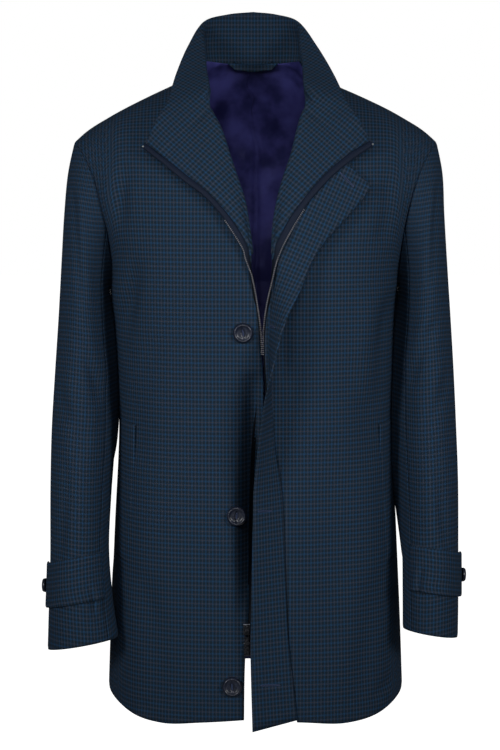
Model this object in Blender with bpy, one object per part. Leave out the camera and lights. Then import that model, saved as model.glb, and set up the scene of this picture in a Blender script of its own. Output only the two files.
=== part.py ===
"""A single-breasted car coat, worn open and empty, as thin cloth walls in metres.

+Z is up, the front faces -Y and the wearer's left is +X. The origin lies between the shoulders, at the
height where the coat hangs on its wearer.
"""

import math

import bmesh
import bpy
import numpy as np

for old in list(bpy.data.objects):
    bpy.data.objects.remove(old)


def table(columns, rows):
    """Named columns of a short table, as arrays."""
    return dict(zip(columns.split(), np.array(rows, float).T))


# Cloth and clearances
COAT_CLOTH = 0.0020
COLLAR_CLOTH = 0.0024
FACING_CLOTH = 0.0024
STRAP_CLOTH = 0.0020
LINING_CLOTH = 0.0012
TAPE_CLOTH = 0.0014
SEAM_GAP = 0.0004
SKIN_GAP = 0.0008

# Torso
CHEST_Z = -0.247
HEM_Z = -0.784
BACK_HEM_Z = -0.771
LEFT_EXTRA = 0.0065
EXTRA_FROM = 0.050
EXTRA_OVER = 0.130
CHEST_HALF = 0.180
CHEST_FRONT = 0.140
CHEST_BACK = 0.130
RIDGE_Y = 0.006
SHOULDER_TIP_X = 0.230
NECK_X = 0.068
FRONT_ROUND = 2.6
BACK_ROUND = 2.4
UPPER_BACK_ROUND = 3.2
NECK_DROP = 0.050
FRONT_TUCK = 0.128
BACK_TUCK = 0.100
TUCK_RISE = 0.75

TORSO = table("z half front back", [
    (-0.810, 0.190, 0.151, 0.140),
    (-0.700, 0.186, 0.147, 0.136),
    (-0.570, 0.180, 0.142, 0.130),
    (-0.420, 0.1735, 0.136, 0.119),
    (-0.330, 0.1755, 0.138, 0.123),
    (-0.247, 0.180, 0.140, 0.130),
])

# Hem of a front from its middle to the side seam, as a share of the half width
HEM = table("share z", [
    (0.00, -0.783),
    (0.35, -0.788),
    (0.62, -0.7915),
    (0.82, -0.785),
    (1.00, -0.768),
])

SHOULDER = table("x z", [
    (0.000, 0.053),
    (0.040, 0.050),
    (0.056, 0.0410),
    (0.068, 0.0265),
    (0.105, 0.009),
    (0.133, -0.004),
    (0.185, -0.031),
    (0.215, -0.050),
    (0.235, -0.068),
])

# Inner edge of each front: neckline, then roll line, then the edge that the zip is sewn to
FRONT_EDGE = table("z right left", [
    (-0.800, -0.0115, 0.0570),
    (-0.700, -0.0095, 0.0460),
    (-0.570, -0.0070, 0.0400),
    (-0.487, -0.0052, 0.0345),
    (-0.444, -0.0039, 0.0272),
    (-0.385, 0.0012, 0.0235),
    (-0.312, 0.0036, 0.0200),
    (-0.268, 0.0000, 0.0215),
    (-0.230, -0.0028, 0.0245),
    (-0.193, -0.0045, 0.0262),
    (-0.165, -0.0081, 0.0277),
    (-0.133, -0.0138, 0.0331),
    (-0.103, -0.0237, 0.0415),
    (-0.077, -0.0324, 0.0505),
    (-0.050, -0.0412, 0.0572),
    (-0.022, -0.0530, 0.0642),
    (0.004, -0.0625, 0.0725),
    (0.0265, -0.0680, 0.0680),
])

# Zip tape sections: cloth edge, tape edge, the roll point opposite, how far the tape edge stands forward
ZIP_RIGHT = table("cloth_x cloth_z tape_x tape_z roll_z cloth_out tape_out", [
    (-0.1335, -0.0640, -0.1385, -0.0690, -0.010, 0.0140, 0.0140),
    (-0.1100, -0.0816, -0.1141, -0.0875, -0.022, 0.0115, 0.0115),
    (-0.0813, -0.1038, -0.0853, -0.1109, -0.055, 0.0105, 0.0105),
    (-0.0560, -0.1235, -0.0605, -0.1292, -0.088, 0.0105, 0.0105),
    (-0.0327, -0.1486, -0.0383, -0.1535, -0.122, 0.0095, 0.0100),
    (-0.0160, -0.1722, -0.0223, -0.1765, -0.152, 0.0080, 0.0100),
    (-0.0068, -0.1895, -0.0125, -0.1935, -0.176, 0.0045, 0.0085),
    (-0.0038, -0.1990, -0.0080, -0.2030, -0.186, 0.0025, 0.0075),
    (-0.0030, -0.2120, -0.0036, -0.2130, -0.200, -0.0010, 0.0065),
    (-0.0022, -0.2300, 0.0023, -0.2305, -0.220, -0.0010, 0.0050),
    (0.0004, -0.2680, 0.0075, -0.2680, -0.250, -0.0010, 0.0000),
    (0.0040, -0.3120, 0.0113, -0.3120, -0.300, -0.0010, -0.0010),
    (0.0016, -0.3850, 0.0089, -0.3850, -0.370, -0.0010, -0.0010),
    (-0.0035, -0.4440, 0.0038, -0.4440, -0.430, -0.0010, -0.0010),
    (-0.0066, -0.5700, 0.0007, -0.5700, -0.560, -0.0010, -0.0010),
    (-0.0091, -0.7020, -0.0018, -0.7020, -0.690, -0.0010, -0.0010),
])

ZIP_LEFT = table("cloth_x cloth_z tape_x tape_z roll_z cloth_out tape_out", [
    (0.1455, -0.0608, 0.1505, -0.0664, -0.010, 0.0140, 0.0140),
    (0.1220, -0.0744, 0.1262, -0.0820, -0.022, 0.0115, 0.0115),
    (0.0945, -0.0962, 0.0998, -0.1030, -0.050, 0.0105, 0.0105),
    (0.0730, -0.1185, 0.0786, -0.1248, -0.085, 0.0105, 0.0105),
    (0.0593, -0.1356, 0.0649, -0.1416, -0.112, 0.0100, 0.0100),
    (0.0453, -0.1548, 0.0514, -0.1602, -0.143, 0.0090, 0.0100),
    (0.0335, -0.1755, 0.0391, -0.1800, -0.172, 0.0055, 0.0095),
    (0.0262, -0.1900, 0.0322, -0.1935, -0.186, 0.0040, 0.0085),
    (0.0236, -0.2080, 0.0262, -0.2090, -0.200, -0.0004, 0.0065),
    (0.0230, -0.2300, 0.0216, -0.2310, -0.220, -0.0010, 0.0060),
    (0.0211, -0.2680, 0.0140, -0.2680, -0.250, -0.0010, 0.0010),
    (0.0196, -0.3120, 0.0124, -0.3120, -0.300, -0.0010, -0.0010),
    (0.0231, -0.3850, 0.0158, -0.3850, -0.370, -0.0010, -0.0010),
    (0.0268, -0.4440, 0.0195, -0.4440, -0.430, -0.0010, -0.0010),
    (0.0396, -0.5700, 0.0323, -0.5700, -0.560, -0.0010, -0.0010),
    (0.0456, -0.7020, 0.0383, -0.7020, -0.690, -0.0010, -0.0010),
])

# Storm flap sections, from its top end to the hem: sewn edge, then free edge and how far it stands forward
FLAP = table("sewn_x sewn_z sewn_out free_x free_z free_out", [
    (0.1120, -0.0830, 0.0080, 0.1473, -0.1177, 0.0110),
    (0.0950, -0.0980, 0.0080, 0.1347, -0.1336, 0.0110),
    (0.0760, -0.1180, 0.0080, 0.1195, -0.1510, 0.0110),
    (0.0620, -0.1330, 0.0075, 0.1035, -0.1678, 0.0110),
    (0.0480, -0.1530, 0.0060, 0.0862, -0.1873, 0.0120),
    (0.0372, -0.1750, 0.0022, 0.0699, -0.2127, 0.0150),
    (0.0310, -0.1970, 0.0022, 0.0637, -0.2300, 0.0190),
    (0.0282, -0.2220, 0.0022, 0.0535, -0.2520, 0.0260),
    (0.0252, -0.2480, 0.0022, 0.0410, -0.2775, 0.0340),
    (0.0207, -0.2850, 0.0022, 0.0321, -0.3050, 0.0410),
    (0.0207, -0.3350, 0.0022, 0.0217, -0.3470, 0.0470),
    (0.0235, -0.3850, 0.0022, 0.0132, -0.3820, 0.0460),
    (0.0268, -0.4400, 0.0022, 0.0059, -0.4380, 0.0420),
    (0.0345, -0.4870, 0.0022, 0.0010, -0.4850, 0.0340),
    (0.0380, -0.5300, 0.0022, -0.0002, -0.5270, 0.0290),
    (0.0424, -0.6540, 0.0022, -0.0027, -0.6526, 0.0210),
    (0.0460, -0.7020, 0.0022, -0.0032, -0.7010, 0.0170),
    (0.0555, -0.7840, 0.0022, -0.0008, -0.7950, 0.0150),
])

# Collar sections from the centre back to the front edge, on the wearer's right: the fold, above which the
# collar is turned outwards, and the free edge. The left side is its mirror image, moved over by left_lean.
# The neck seam itself is read from the panels' edges.
COLLAR = table("fold_x fold_y fold_z edge_x edge_y edge_z left_lean", [
    (0.0000, 0.0760, 0.1000, 0.0000, 0.0750, 0.1066, 0.0000),
    (0.0335, 0.0710, 0.0960, 0.0335, 0.0700, 0.1031, -0.0030),
    (0.0620, 0.0520, 0.0880, 0.0645, 0.0510, 0.0925, -0.0050),
    (0.0613, 0.0180, 0.0617, 0.0837, 0.0140, 0.0602, -0.0015),
    (0.0589, -0.0240, 0.0341, 0.0969, -0.0240, 0.0261, 0.0040),
    (0.0550, -0.0680, 0.0081, 0.1076, -0.0600, -0.0046, 0.0110),
    (0.0560, -0.0960, -0.0205, 0.1182, -0.0780, -0.0212, 0.0120),
    (0.0750, -0.0990, -0.0490, 0.1285, -0.0900, -0.0370, 0.0120),
    (0.0850, -0.1065, -0.0770, 0.1335, -0.1000, -0.0640, 0.0120),
])
NECK_STATIONS = table("station x", [
    (0.0, 0.000),
    (1.0, 0.034),
    (2.0, 0.056),
    (3.0, 0.0662),
    (3.4, 0.068),
])
ROLL_ROW = 6
GORGE_ROWS = 2
ROLL_TOP_Z = -0.022
LAPEL_END = 4.2
LAPEL_BULGE = 0.003
FALL_STATION = 4
WING_BULGE = 0.003
WING_SHARE = 0.30
FOLD_ROUND = 0.004
FOLD_CUT = 0.45
FALL_START = 0.4
FALL_LIFT = 0.008

# Sleeve rings from armhole to cuff: outer and inner line, middle and half depth
SLEEVE = table("outer_x outer_z inner_x inner_z mid_y depth left_outer left_inner", [
    (0.2300, -0.0635, 0.1800, -0.2470, 0.006, 0.080, 0.0065, 0.0065),
    (0.2385, -0.1050, 0.1835, -0.2530, 0.003, 0.083, 0.0055, 0.0065),
    (0.2433, -0.1564, 0.1860, -0.2640, 0.001, 0.083, 0.0030, 0.0060),
    (0.2470, -0.2171, 0.1845, -0.2920, -0.001, 0.081, 0.0030, 0.0060),
    (0.2511, -0.2854, 0.1815, -0.3320, -0.004, 0.079, 0.0035, 0.0060),
    (0.2558, -0.3564, 0.1790, -0.3860, -0.010, 0.077, 0.0030, 0.0060),
    (0.2597, -0.4328, 0.1785, -0.4470, -0.025, 0.073, 0.0020, 0.0070),
    (0.2604, -0.5081, 0.1825, -0.5146, -0.045, 0.066, 0.0030, 0.0060),
    (0.2598, -0.5957, 0.1845, -0.5800, -0.065, 0.057, 0.0030, 0.0065),
    (0.2611, -0.6581, 0.1791, -0.6426, -0.080, 0.051, 0.0010, 0.0120),
    (0.2622, -0.7060, 0.1715, -0.6900, -0.088, 0.048, -0.0010, 0.0195),
])
LEFT_SLEEVE = 0.975
RING_TILT = 0.6
ARMHOLE_SCOOP = 2.1
BACK_ARMHOLE_SCOOP = 1.7
FRONT_SEAM = 7
HIND_SEAM = -3
CAP_RINGS = 5
MITRE_UNTIL = 0.2
APART_FROM = 0.7

# Grid counts
BODY_ROWS = 13
YOKE_ROWS = 9
FRONT_COLUMNS = 11
BACK_COLUMNS = 20
NECK_COLUMNS = 12
RING_ROWS = 14
COLLAR_COLUMNS = 48
STAND_ROWS = 3
WING_ROWS = 4
LAPEL_ROWS = 10
LAPEL_COLUMNS = 6
FLAP_ROWS = 34
FLAP_COLUMNS = 4
TAPE_ROWS = 34
EDGE_PASSES = 12
SHARP_DEGREES = 40

# Fastenings
FRONT_BUTTON_R = 0.0125
CUFF_BUTTON_R = 0.0090
BUTTON_SIDES = 16
FRONT_BUTTONS = {"front_button_top": (-0.0125, -0.297), "front_button_middle": (-0.0205, -0.526),
                 "front_button_bottom": (-0.0262, -0.741)}
WELT_COLUMNS = (-3.6, -1.5)
WELT_LOW_Z = -0.597
WELT_HIGH_Z = -0.418
STRAP_ROWS = (11.25, 12.50)
STRAP_TURN = (7.0, -1.2)
STRAP_LOOSE = 1.5
STRAP_FLARE = 0.006
STRAP_BUTTON_IN = 0.75

COLOURS = {
    "coat": (0.014, 0.028, 0.050, 0.86, 0.0),
    "lining": (0.011, 0.012, 0.042, 0.34, 0.0),
    "tape": (0.012, 0.016, 0.032, 0.70, 0.0),
    "button": (0.020, 0.024, 0.044, 0.28, 0.0),
    "metal": (0.42, 0.43, 0.45, 0.30, 1.0),
}


def smooth(places, values, at):
    """Value at each place of the smooth curve through the table's points, by cubic pieces."""
    slopes = np.gradient(values, places)
    at = np.clip(at, places[0], places[-1])
    i = np.clip(np.searchsorted(places, at) - 1, 0, len(places) - 2)
    step = places[i + 1] - places[i]
    t = (at - places[i]) / step
    start = (1 + 2 * t) * (1 - t) ** 2 * values[i] + t * (1 - t) ** 2 * step * slopes[i]
    return start + t * t * (3 - 2 * t) * values[i + 1] + t * t * (t - 1) * step * slopes[i + 1]


def spread(rows, count):
    """The table again, with its columns read at count even steps from first row to last."""
    index = np.arange(len(next(iter(rows.values()))), dtype=float)
    at = np.linspace(0, index[-1], count)
    return {name: smooth(index, values, at) for name, values in rows.items()}


def unit(vectors):
    return vectors / np.maximum(np.linalg.norm(vectors, axis=-1, keepdims=True), 1e-12)


def stack(x, y, z):
    return np.stack(np.broadcast_arrays(x, y, z), axis=-1).astype(float)


def ease(t):
    t = np.clip(t, 0, 1)
    return t * t * (3 - 2 * t)


# Torso surfaces

def widen(x):
    """The wearer's left side, which stands a little wider than the right."""
    return x + LEFT_EXTRA * ease((x - EXTRA_FROM) / EXTRA_OVER)


def half_oval(x, half, power):
    """Depth share of a rounded section at x: 1 in the middle and 0 at the side."""
    return (1 - np.clip(np.abs(x) / half, 0, 1) ** power) ** (1 / power)


def shoulder_z(x):
    return smooth(SHOULDER["x"], SHOULDER["z"], np.abs(x))


def armhole_x(rise, scoop):
    return CHEST_HALF + (SHOULDER_TIP_X - CHEST_HALF) * rise**scoop


def yoke_half(rise, scoop, tuck):
    """Half width of the whole upper section, of which the armhole cuts off the end."""
    return armhole_x(rise, scoop) / (1 - tuck * ease(rise / TUCK_RISE))


def front_half(rise):
    return yoke_half(rise, ARMHOLE_SCOOP, FRONT_TUCK)


def back_half(rise):
    return yoke_half(rise, BACK_ARMHOLE_SCOOP, BACK_TUCK)


def yoke_rise(x, z):
    return np.clip((z - CHEST_Z) / (shoulder_z(x) - CHEST_Z), 0, 1)


def front_yoke_y(x, rise):
    return RIDGE_Y * rise - CHEST_FRONT * np.sqrt(1 - rise**2) * half_oval(x, front_half(rise), FRONT_ROUND)


def back_yoke_y(x, rise):
    fall = (1 - rise**UPPER_BACK_ROUND) ** (1 / UPPER_BACK_ROUND)
    return RIDGE_Y * rise + CHEST_BACK * fall * half_oval(x, back_half(rise), BACK_ROUND)


def torso(column, z):
    return smooth(TORSO["z"], TORSO[column], z)


def front_y(x, z):
    """Depth of the front's outer face at x and z, above and below the chest line."""
    x = 2 * x - widen(x)
    below = -torso("front", z) * half_oval(x, torso("half", z), FRONT_ROUND)
    return np.where(z < CHEST_Z, below, front_yoke_y(x, yoke_rise(x, z)))


def yoke_rises():
    return np.sin(np.linspace(0, math.pi / 2, YOKE_ROWS + 1))


def front_grid(side):
    """Outer face of one front, rows from hem to shoulder and columns from front edge to side."""
    edge = side * FRONT_EDGE["left" if side > 0 else "right"]
    across = np.linspace(0, 1, FRONT_COLUMNS + 1)
    up = np.linspace(0, 1, BODY_ROWS + 1)[:-1, None]
    level = HEM_Z + (CHEST_Z - HEM_Z) * up
    half = torso("half", level)
    first = np.arcsin(smooth(FRONT_EDGE["z"], edge, level) / half)
    x = half * np.sin(first + (math.pi / 2 - first) * across)
    z = level + (smooth(HEM["share"], HEM["z"], x / half) - HEM_Z) * (1 - up)
    low = stack(x, -torso("front", z) * half_oval(x, half, FRONT_ROUND), z)
    rise = yoke_rises()[:, None]
    half = front_half(rise)
    start = np.full_like(rise, NECK_X)
    for _ in range(EDGE_PASSES):
        start = smooth(FRONT_EDGE["z"], edge, CHEST_Z + (shoulder_z(start) - CHEST_Z) * rise)
    first, last = np.arcsin(start / half), np.arcsin(armhole_x(rise, ARMHOLE_SCOOP) / half)
    x = half * np.sin(first + (last - first) * across)
    high = stack(x, front_yoke_y(x, rise), CHEST_Z + (shoulder_z(x) - CHEST_Z) * rise)
    grid = np.concatenate([low, high])
    grid[..., 0] = widen(side * grid[..., 0])
    return grid


def back_grid():
    """Outer face of the back, rows from hem to shoulder and neckline, columns from right to left."""
    turn = np.linspace(-1, 1, BACK_COLUMNS + 1) * math.pi / 2
    up = np.linspace(0, 1, BODY_ROWS + 1)[:-1, None]
    level = HEM_Z + (CHEST_Z - HEM_Z) * up
    half = torso("half", level)
    x = half * np.sin(turn)
    hem = BACK_HEM_Z + (HEM["z"][-1] - BACK_HEM_Z) * (x / half) ** 2
    z = level + (hem - HEM_Z) * (1 - up)
    low = stack(x, torso("back", z) * half_oval(x, half, BACK_ROUND), z)
    rise = yoke_rises()[:, None]
    half, last = back_half(rise), armhole_x(rise, BACK_ARMHOLE_SCOOP)
    even = half * np.sin(np.linspace(-1, 1, BACK_COLUMNS + 1) * np.arcsin(last / half))
    at = (np.arange(BACK_COLUMNS + 1) - BACK_COLUMNS / 2) / (NECK_COLUMNS / 2)
    reach = 1 + (SHOULDER_TIP_X / NECK_X - 1) * (np.abs(at) - 1) / (np.abs(at[0]) - 1)
    shares = np.sign(at) * np.where(np.abs(at) < 1, np.sin(np.abs(at) * math.pi / 2), reach)
    shares = shares * NECK_X / SHOULDER_TIP_X
    x = even + (last * shares - even) * ease(rise)
    top = 1 - NECK_DROP * np.clip(1 - (last[-1] * shares / NECK_X) ** 2, 0, 1)
    rise = rise * top
    high = stack(x, back_yoke_y(x, rise), CHEST_Z + (shoulder_z(x) - CHEST_Z) * rise)
    grid = np.concatenate([low, high])
    grid[..., 0] = widen(grid[..., 0])
    return grid


# Walls

def normals(grid, toward):
    """Unit normals of a grid of points, turned to the side that toward points to."""
    found = unit(np.cross(np.gradient(grid, axis=0), np.gradient(grid, axis=1)))
    return found * np.sign((found * toward).sum(-1).mean())


def draw_in(grid, row=None, column=None, by=SEAM_GAP / 2):
    """Moves one edge of a grid back towards its neighbour, to leave a seam's gap."""
    view = grid if column is None else np.swapaxes(grid, 0, 1)
    at = row if column is None else column
    beside = at + 1 if at == 0 else at - 1
    view[at] += unit(view[beside] - view[at]) * by


def material(name):
    if name in bpy.data.materials:
        return bpy.data.materials[name]
    made = bpy.data.materials.new(name)
    made.use_nodes = True
    red, green, blue, roughness, metallic = COLOURS[name]
    shader = made.node_tree.nodes["Principled BSDF"]
    shader.inputs["Base Color"].default_value = (red, green, blue, 1)
    shader.inputs["Roughness"].default_value = roughness
    shader.inputs["Metallic"].default_value = metallic
    return made


def add_object(name, points, faces, finish):
    """A closed mesh as an object with one material, its faces turned outwards."""
    mesh = bpy.data.meshes.new(name)
    mesh.from_pydata([tuple(p) for p in points], [], [tuple(f) for f in faces])
    shape = bmesh.new()
    shape.from_mesh(mesh)
    bmesh.ops.recalc_face_normals(shape, faces=shape.faces)
    if shape.calc_volume(signed=True) < 0:
        bmesh.ops.reverse_faces(shape, faces=shape.faces)
    shape.to_mesh(mesh)
    shape.free()
    mesh.shade_smooth()
    mesh.set_sharp_from_angle(angle=math.radians(SHARP_DEGREES))
    mesh.materials.append(material(finish))
    placed = bpy.data.objects.new(name, mesh)
    bpy.context.scene.collection.objects.link(placed)
    return placed


def wall(name, outer, inner, finish):
    """A closed wall between two grids of the same size."""
    rows, columns = outer.shape[:2]
    place = np.arange(rows * columns).reshape(rows, columns)
    back = place + rows * columns
    corners = [place[:-1, :-1], place[1:, :-1], place[1:, 1:], place[:-1, 1:]]
    faces = np.stack(corners, axis=-1).reshape(-1, 4)
    rim = np.concatenate([place[0, :-1], place[:-1, -1], place[-1, :0:-1], place[:0:-1, 0]])
    after = np.roll(rim, -1)
    sides = np.stack([rim, after, after + rows * columns, rim + rows * columns], axis=-1)
    inside = np.stack([back[:-1, :-1], back[:-1, 1:], back[1:, 1:], back[1:, :-1]], axis=-1)
    every = np.concatenate([faces, inside.reshape(-1, 4), sides])
    points = np.concatenate([outer.reshape(-1, 3), inner.reshape(-1, 3)])
    return add_object(name, points, every, finish)


def read_grid(grid, rows, columns):
    """Points of a grid at fractional rows and columns, straight between its own points."""
    rows, columns = np.broadcast_arrays(np.asarray(rows, float), np.asarray(columns, float))
    rows = np.clip(rows, 0, grid.shape[0] - 1)
    columns = np.clip(columns, 0, grid.shape[1] - 1)
    r = np.minimum(rows.astype(int), grid.shape[0] - 2)
    c = np.minimum(columns.astype(int), grid.shape[1] - 2)
    s, t = (rows - r)[..., None], (columns - c)[..., None]
    low = grid[r, c] * (1 - t) + grid[r, c + 1] * t
    return low * (1 - s) + (grid[r + 1, c] * (1 - t) + grid[r + 1, c + 1] * t) * s


def miter(first, second):
    """Offset that keeps one wall thickness to both of two faces that meet at a corner."""
    return (first + second) / np.maximum(1 + (first * second).sum(-1, keepdims=True), 1.0)


def flatten_seams(facing):
    """Normals along the side seam and shoulder seam, turned square to the seam."""
    facing[:BODY_ROWS + 1, -1, 1] = 0
    facing[-1, :, 1] = 0
    return unit(facing)


FRONTS = {"right": front_grid(-1), "left": front_grid(1)}
SIDES = {"right": -1, "left": 1}
BACK = back_grid()
FACING = {name: flatten_seams(normals(grid, (0, -1, 0))) for name, grid in FRONTS.items()}
BACK_FACING = normals(BACK, (0, 1, 0))
BACK_FACING[:BODY_ROWS + 1, 0, 1] = 0
BACK_FACING[:BODY_ROWS + 1, -1, 1] = 0
NECK_COLUMN = (BACK_COLUMNS - NECK_COLUMNS) // 2
BACK_FACING[-1, :NECK_COLUMN + 1, 1] = 0
BACK_FACING[-1, BACK_COLUMNS - NECK_COLUMN:, 1] = 0
BACK_FACING = unit(BACK_FACING)


def armhole_loop(name):
    """Outer edge of one armhole and the panels' normals on it: from the shoulder, front, then back."""
    column = 0 if name == "right" else -1
    front, front_face = FRONTS[name][:BODY_ROWS - 1:-1, -1], FACING[name][:BODY_ROWS - 1:-1, -1]
    back, back_face = BACK[BODY_ROWS:, column], BACK_FACING[BODY_ROWS:, column]
    return np.concatenate([front, back[1:-1]]), np.concatenate([front_face, back_face[1:-1]])


def sleeve_rings(name):
    """Outer points and normals of one sleeve: a ring for each row, columns round from the shoulder."""
    side = SIDES[name]
    loop, _ = armhole_loop(name)
    rings = spread(SLEEVE, RING_ROWS + 1)
    around = np.arange(len(loop)) * 2 * math.pi / len(loop)
    if name == "left":
        for line in ("outer", "inner"):
            rings[f"{line}_x"] += rings[f"left_{line}"]
            heights = rings[f"{line}_z"]
            rings[f"{line}_z"] = heights[0] + (heights - heights[0]) * LEFT_SLEEVE
    outer_x, inner_x = rings["outer_x"][:, None], rings["inner_x"][:, None]
    outer_z, inner_z = rings["outer_z"][:, None], rings["inner_z"][:, None]
    share = (1 + np.cos(around)) / 2
    forward = rings["depth"][:, None] * np.sin(around)
    lean = np.gradient(rings["mid_y"], (rings["outer_z"] + rings["inner_z"]) / 2)[:, None]
    z = inner_z + (outer_z - inner_z) * share + RING_TILT * lean * forward
    x = inner_x + (outer_x - inner_x) * share
    outer = stack(side * x, rings["mid_y"][:, None] - forward, z)
    fade = np.clip(1 - np.arange(RING_ROWS + 1) / CAP_RINGS, 0, 1)[:, None, None] ** 2
    outer = outer + (loop - outer[0]) * fade
    facing = unit(np.cross(np.gradient(outer, axis=0),
                           np.roll(outer, -1, axis=1) - np.roll(outer, 1, axis=1)))
    out = outer - outer.mean(axis=1, keepdims=True)
    return outer, facing * np.sign((facing * out).sum(-1).mean())


SLEEVES = {name: sleeve_rings(name) for name in FRONTS}


def armhole_inset(name, piece):
    """Offsets from an armhole's outer edge to its inner edge, for the panels or for the sleeve.

    Panel and sleeve share one mitred edge over the shoulder. Under the arm, where both hang down side by
    side from the seam, each keeps to its own inner side.
    """
    faces = {"panel": armhole_loop(name)[1], "sleeve": SLEEVES[name][1][0]}
    opposed = -(faces["panel"] * faces["sleeve"]).sum(-1, keepdims=True)
    apart = ease((opposed - MITRE_UNTIL) / (APART_FROM - MITRE_UNTIL))
    shared = miter(-faces["panel"], -faces["sleeve"])
    return (shared * (1 - apart) - faces[piece] * apart) * COAT_CLOTH


def build_front(name):
    outer, side = FRONTS[name].copy(), SIDES[name]
    inner = outer - FACING[name] * COAT_CLOTH
    armhole = slice(BODY_ROWS, None)
    inner[armhole, -1] = outer[armhole, -1] + armhole_inset(name, "panel")[YOKE_ROWS::-1]
    for grid in (outer, inner):
        grid[armhole, -1, 0] -= side * SEAM_GAP / 2
        grid[:BODY_ROWS + 1, -1, 1] = np.minimum(grid[:BODY_ROWS + 1, -1, 1], -SEAM_GAP / 2)
        grid[-1, :, 1] = np.minimum(grid[-1, :, 1], RIDGE_Y - SEAM_GAP / 2)
    return wall(f"front_{name}", outer, inner, "coat")


def build_back():
    outer = BACK.copy()
    inner = outer - BACK_FACING * COAT_CLOTH
    armhole = slice(BODY_ROWS, None)
    for name, column in (("right", 0), ("left", -1)):
        inset = armhole_inset(name, "panel")
        inner[armhole, column] = outer[armhole, column] + np.concatenate([inset[YOKE_ROWS:], inset[:1]])
        for grid in (outer, inner):
            grid[armhole, column, 0] -= SIDES[name] * SEAM_GAP / 2
            grid[:BODY_ROWS + 1, column, 1] = np.maximum(grid[:BODY_ROWS + 1, column, 1], SEAM_GAP / 2)
    shoulder = np.abs(outer[-1, :, 0]) > NECK_X - SEAM_GAP
    for grid in (outer, inner):
        grid[-1, shoulder, 1] = np.maximum(grid[-1, shoulder, 1], RIDGE_Y + SEAM_GAP / 2)
    return wall("back", outer, inner, "coat")


# Sleeves

def build_sleeve(name):
    outer, facing = SLEEVES[name]
    inner = outer - facing * COAT_CLOTH
    inner[0] = outer[0] + armhole_inset(name, "sleeve")
    around = outer.shape[1]
    cuts = {"top_sleeve": (HIND_SEAM, FRONT_SEAM), "under_sleeve": (FRONT_SEAM, around + HIND_SEAM)}
    for piece, (first, last) in cuts.items():
        columns = np.arange(first, last + 1) % around
        walls = [grid[:, columns].copy() for grid in (outer, inner)]
        for grid in walls:
            grid[0, :, 0] += SIDES[name] * SEAM_GAP / 2
            draw_in(grid, column=0)
            draw_in(grid, column=-1)
        wall(f"{piece}_{name}", *walls, "coat")


def grid_stops(first, last):
    """Both ends and every whole row or column between them, so that a skin bends where its panel does."""
    low, high = min(first, last), max(first, last)
    inside = np.arange(math.floor(low) + 1, math.ceil(high))
    return np.concatenate([[low], inside, [high]])


def sleeve_place(name, rows, turn):
    """Points on a sleeve's outer face and their normals, at ring rows and columns round the sleeve."""
    closed = [np.concatenate([grid, grid, grid[:, :1]], axis=1) for grid in SLEEVES[name]]
    column = np.asarray(turn) + SLEEVES[name][0].shape[1] * (np.asarray(turn) < 0)
    at, facing = [read_grid(grid, rows, column) for grid in closed]
    return at, unit(facing)


def strap_lift(turn):
    """Height of the strap off the sleeve, growing towards its free end."""
    return SKIN_GAP + STRAP_FLARE * np.clip((STRAP_LOOSE - turn) / (STRAP_LOOSE - STRAP_TURN[1]), 0, 1) ** 2


def build_strap(name):
    turn = grid_stops(*STRAP_TURN)
    at, facing = sleeve_place(name, grid_stops(*STRAP_ROWS)[:, None], turn)
    lift = strap_lift(turn)[None, :, None]
    wall(f"cuff_strap_{name}", at + facing * (lift + STRAP_CLOTH), at + facing * lift, "coat")


def build_cuff_button(name):
    turn = STRAP_TURN[1] + STRAP_BUTTON_IN
    at, facing = sleeve_place(name, np.mean(STRAP_ROWS), turn)
    seat = at + facing * (strap_lift(turn) + STRAP_CLOTH + SKIN_GAP)
    build_button(f"cuff_button_{name}", seat, facing, CUFF_BUTTON_R)


# Collar, lapels, storm flap and zip

def front_neckline(name, share):
    """Points on a front's own neckline, at shares from the shoulder point down to the roll line."""
    edge = FRONTS[name][:, 0]
    z = edge[-1, 2] + (ROLL_TOP_Z - edge[-1, 2]) * share
    return stack(np.interp(z, edge[:, 2], edge[:, 0]), np.interp(z, edge[:, 2], edge[:, 1]), z)


def back_neckline(side, x):
    """Points on the back's own neckline at distances from its middle."""
    edge = BACK[-1]
    across = side * x
    return stack(across, np.interp(across, edge[:, 0], edge[:, 1]), np.interp(across, edge[:, 0], edge[:, 2]))


def lapel_points(name, roll_share, cloth_share):
    """Middle of a lapel's cloth: cloth_share runs down it, roll_share from roll line to sewn edge."""
    rows = ZIP_LEFT if name == "left" else ZIP_RIGHT
    index = np.arange(len(rows["cloth_x"]), dtype=float)
    edge = {key: smooth(index, values, 1 + cloth_share) for key, values in rows.items()}
    roll_x = smooth(FRONT_EDGE["z"], FRONT_EDGE[name], edge["roll_z"])
    x = roll_x + (edge["cloth_x"] - roll_x) * roll_share
    z = edge["roll_z"] + (edge["cloth_z"] - edge["roll_z"]) * roll_share
    start = FACING_CLOTH / 2 + SKIN_GAP
    lift = start + (edge["cloth_out"] - start) * roll_share + LAPEL_BULGE * np.sin(math.pi * roll_share)
    return stack(x, front_y(x, z) - lift, z)


def build_facing(name):
    share = np.linspace(0, 1, LAPEL_COLUMNS + 1)[None]
    down = np.linspace(0, LAPEL_END, LAPEL_ROWS + 1)[:, None]
    middle = lapel_points(name, share, down)
    draw_in(middle, row=0, by=2 * SEAM_GAP)
    facing = normals(middle, (0, -1, 0)) * FACING_CLOTH / 2
    return wall(f"facing_{name}", middle + facing, middle - facing, "coat")


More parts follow.
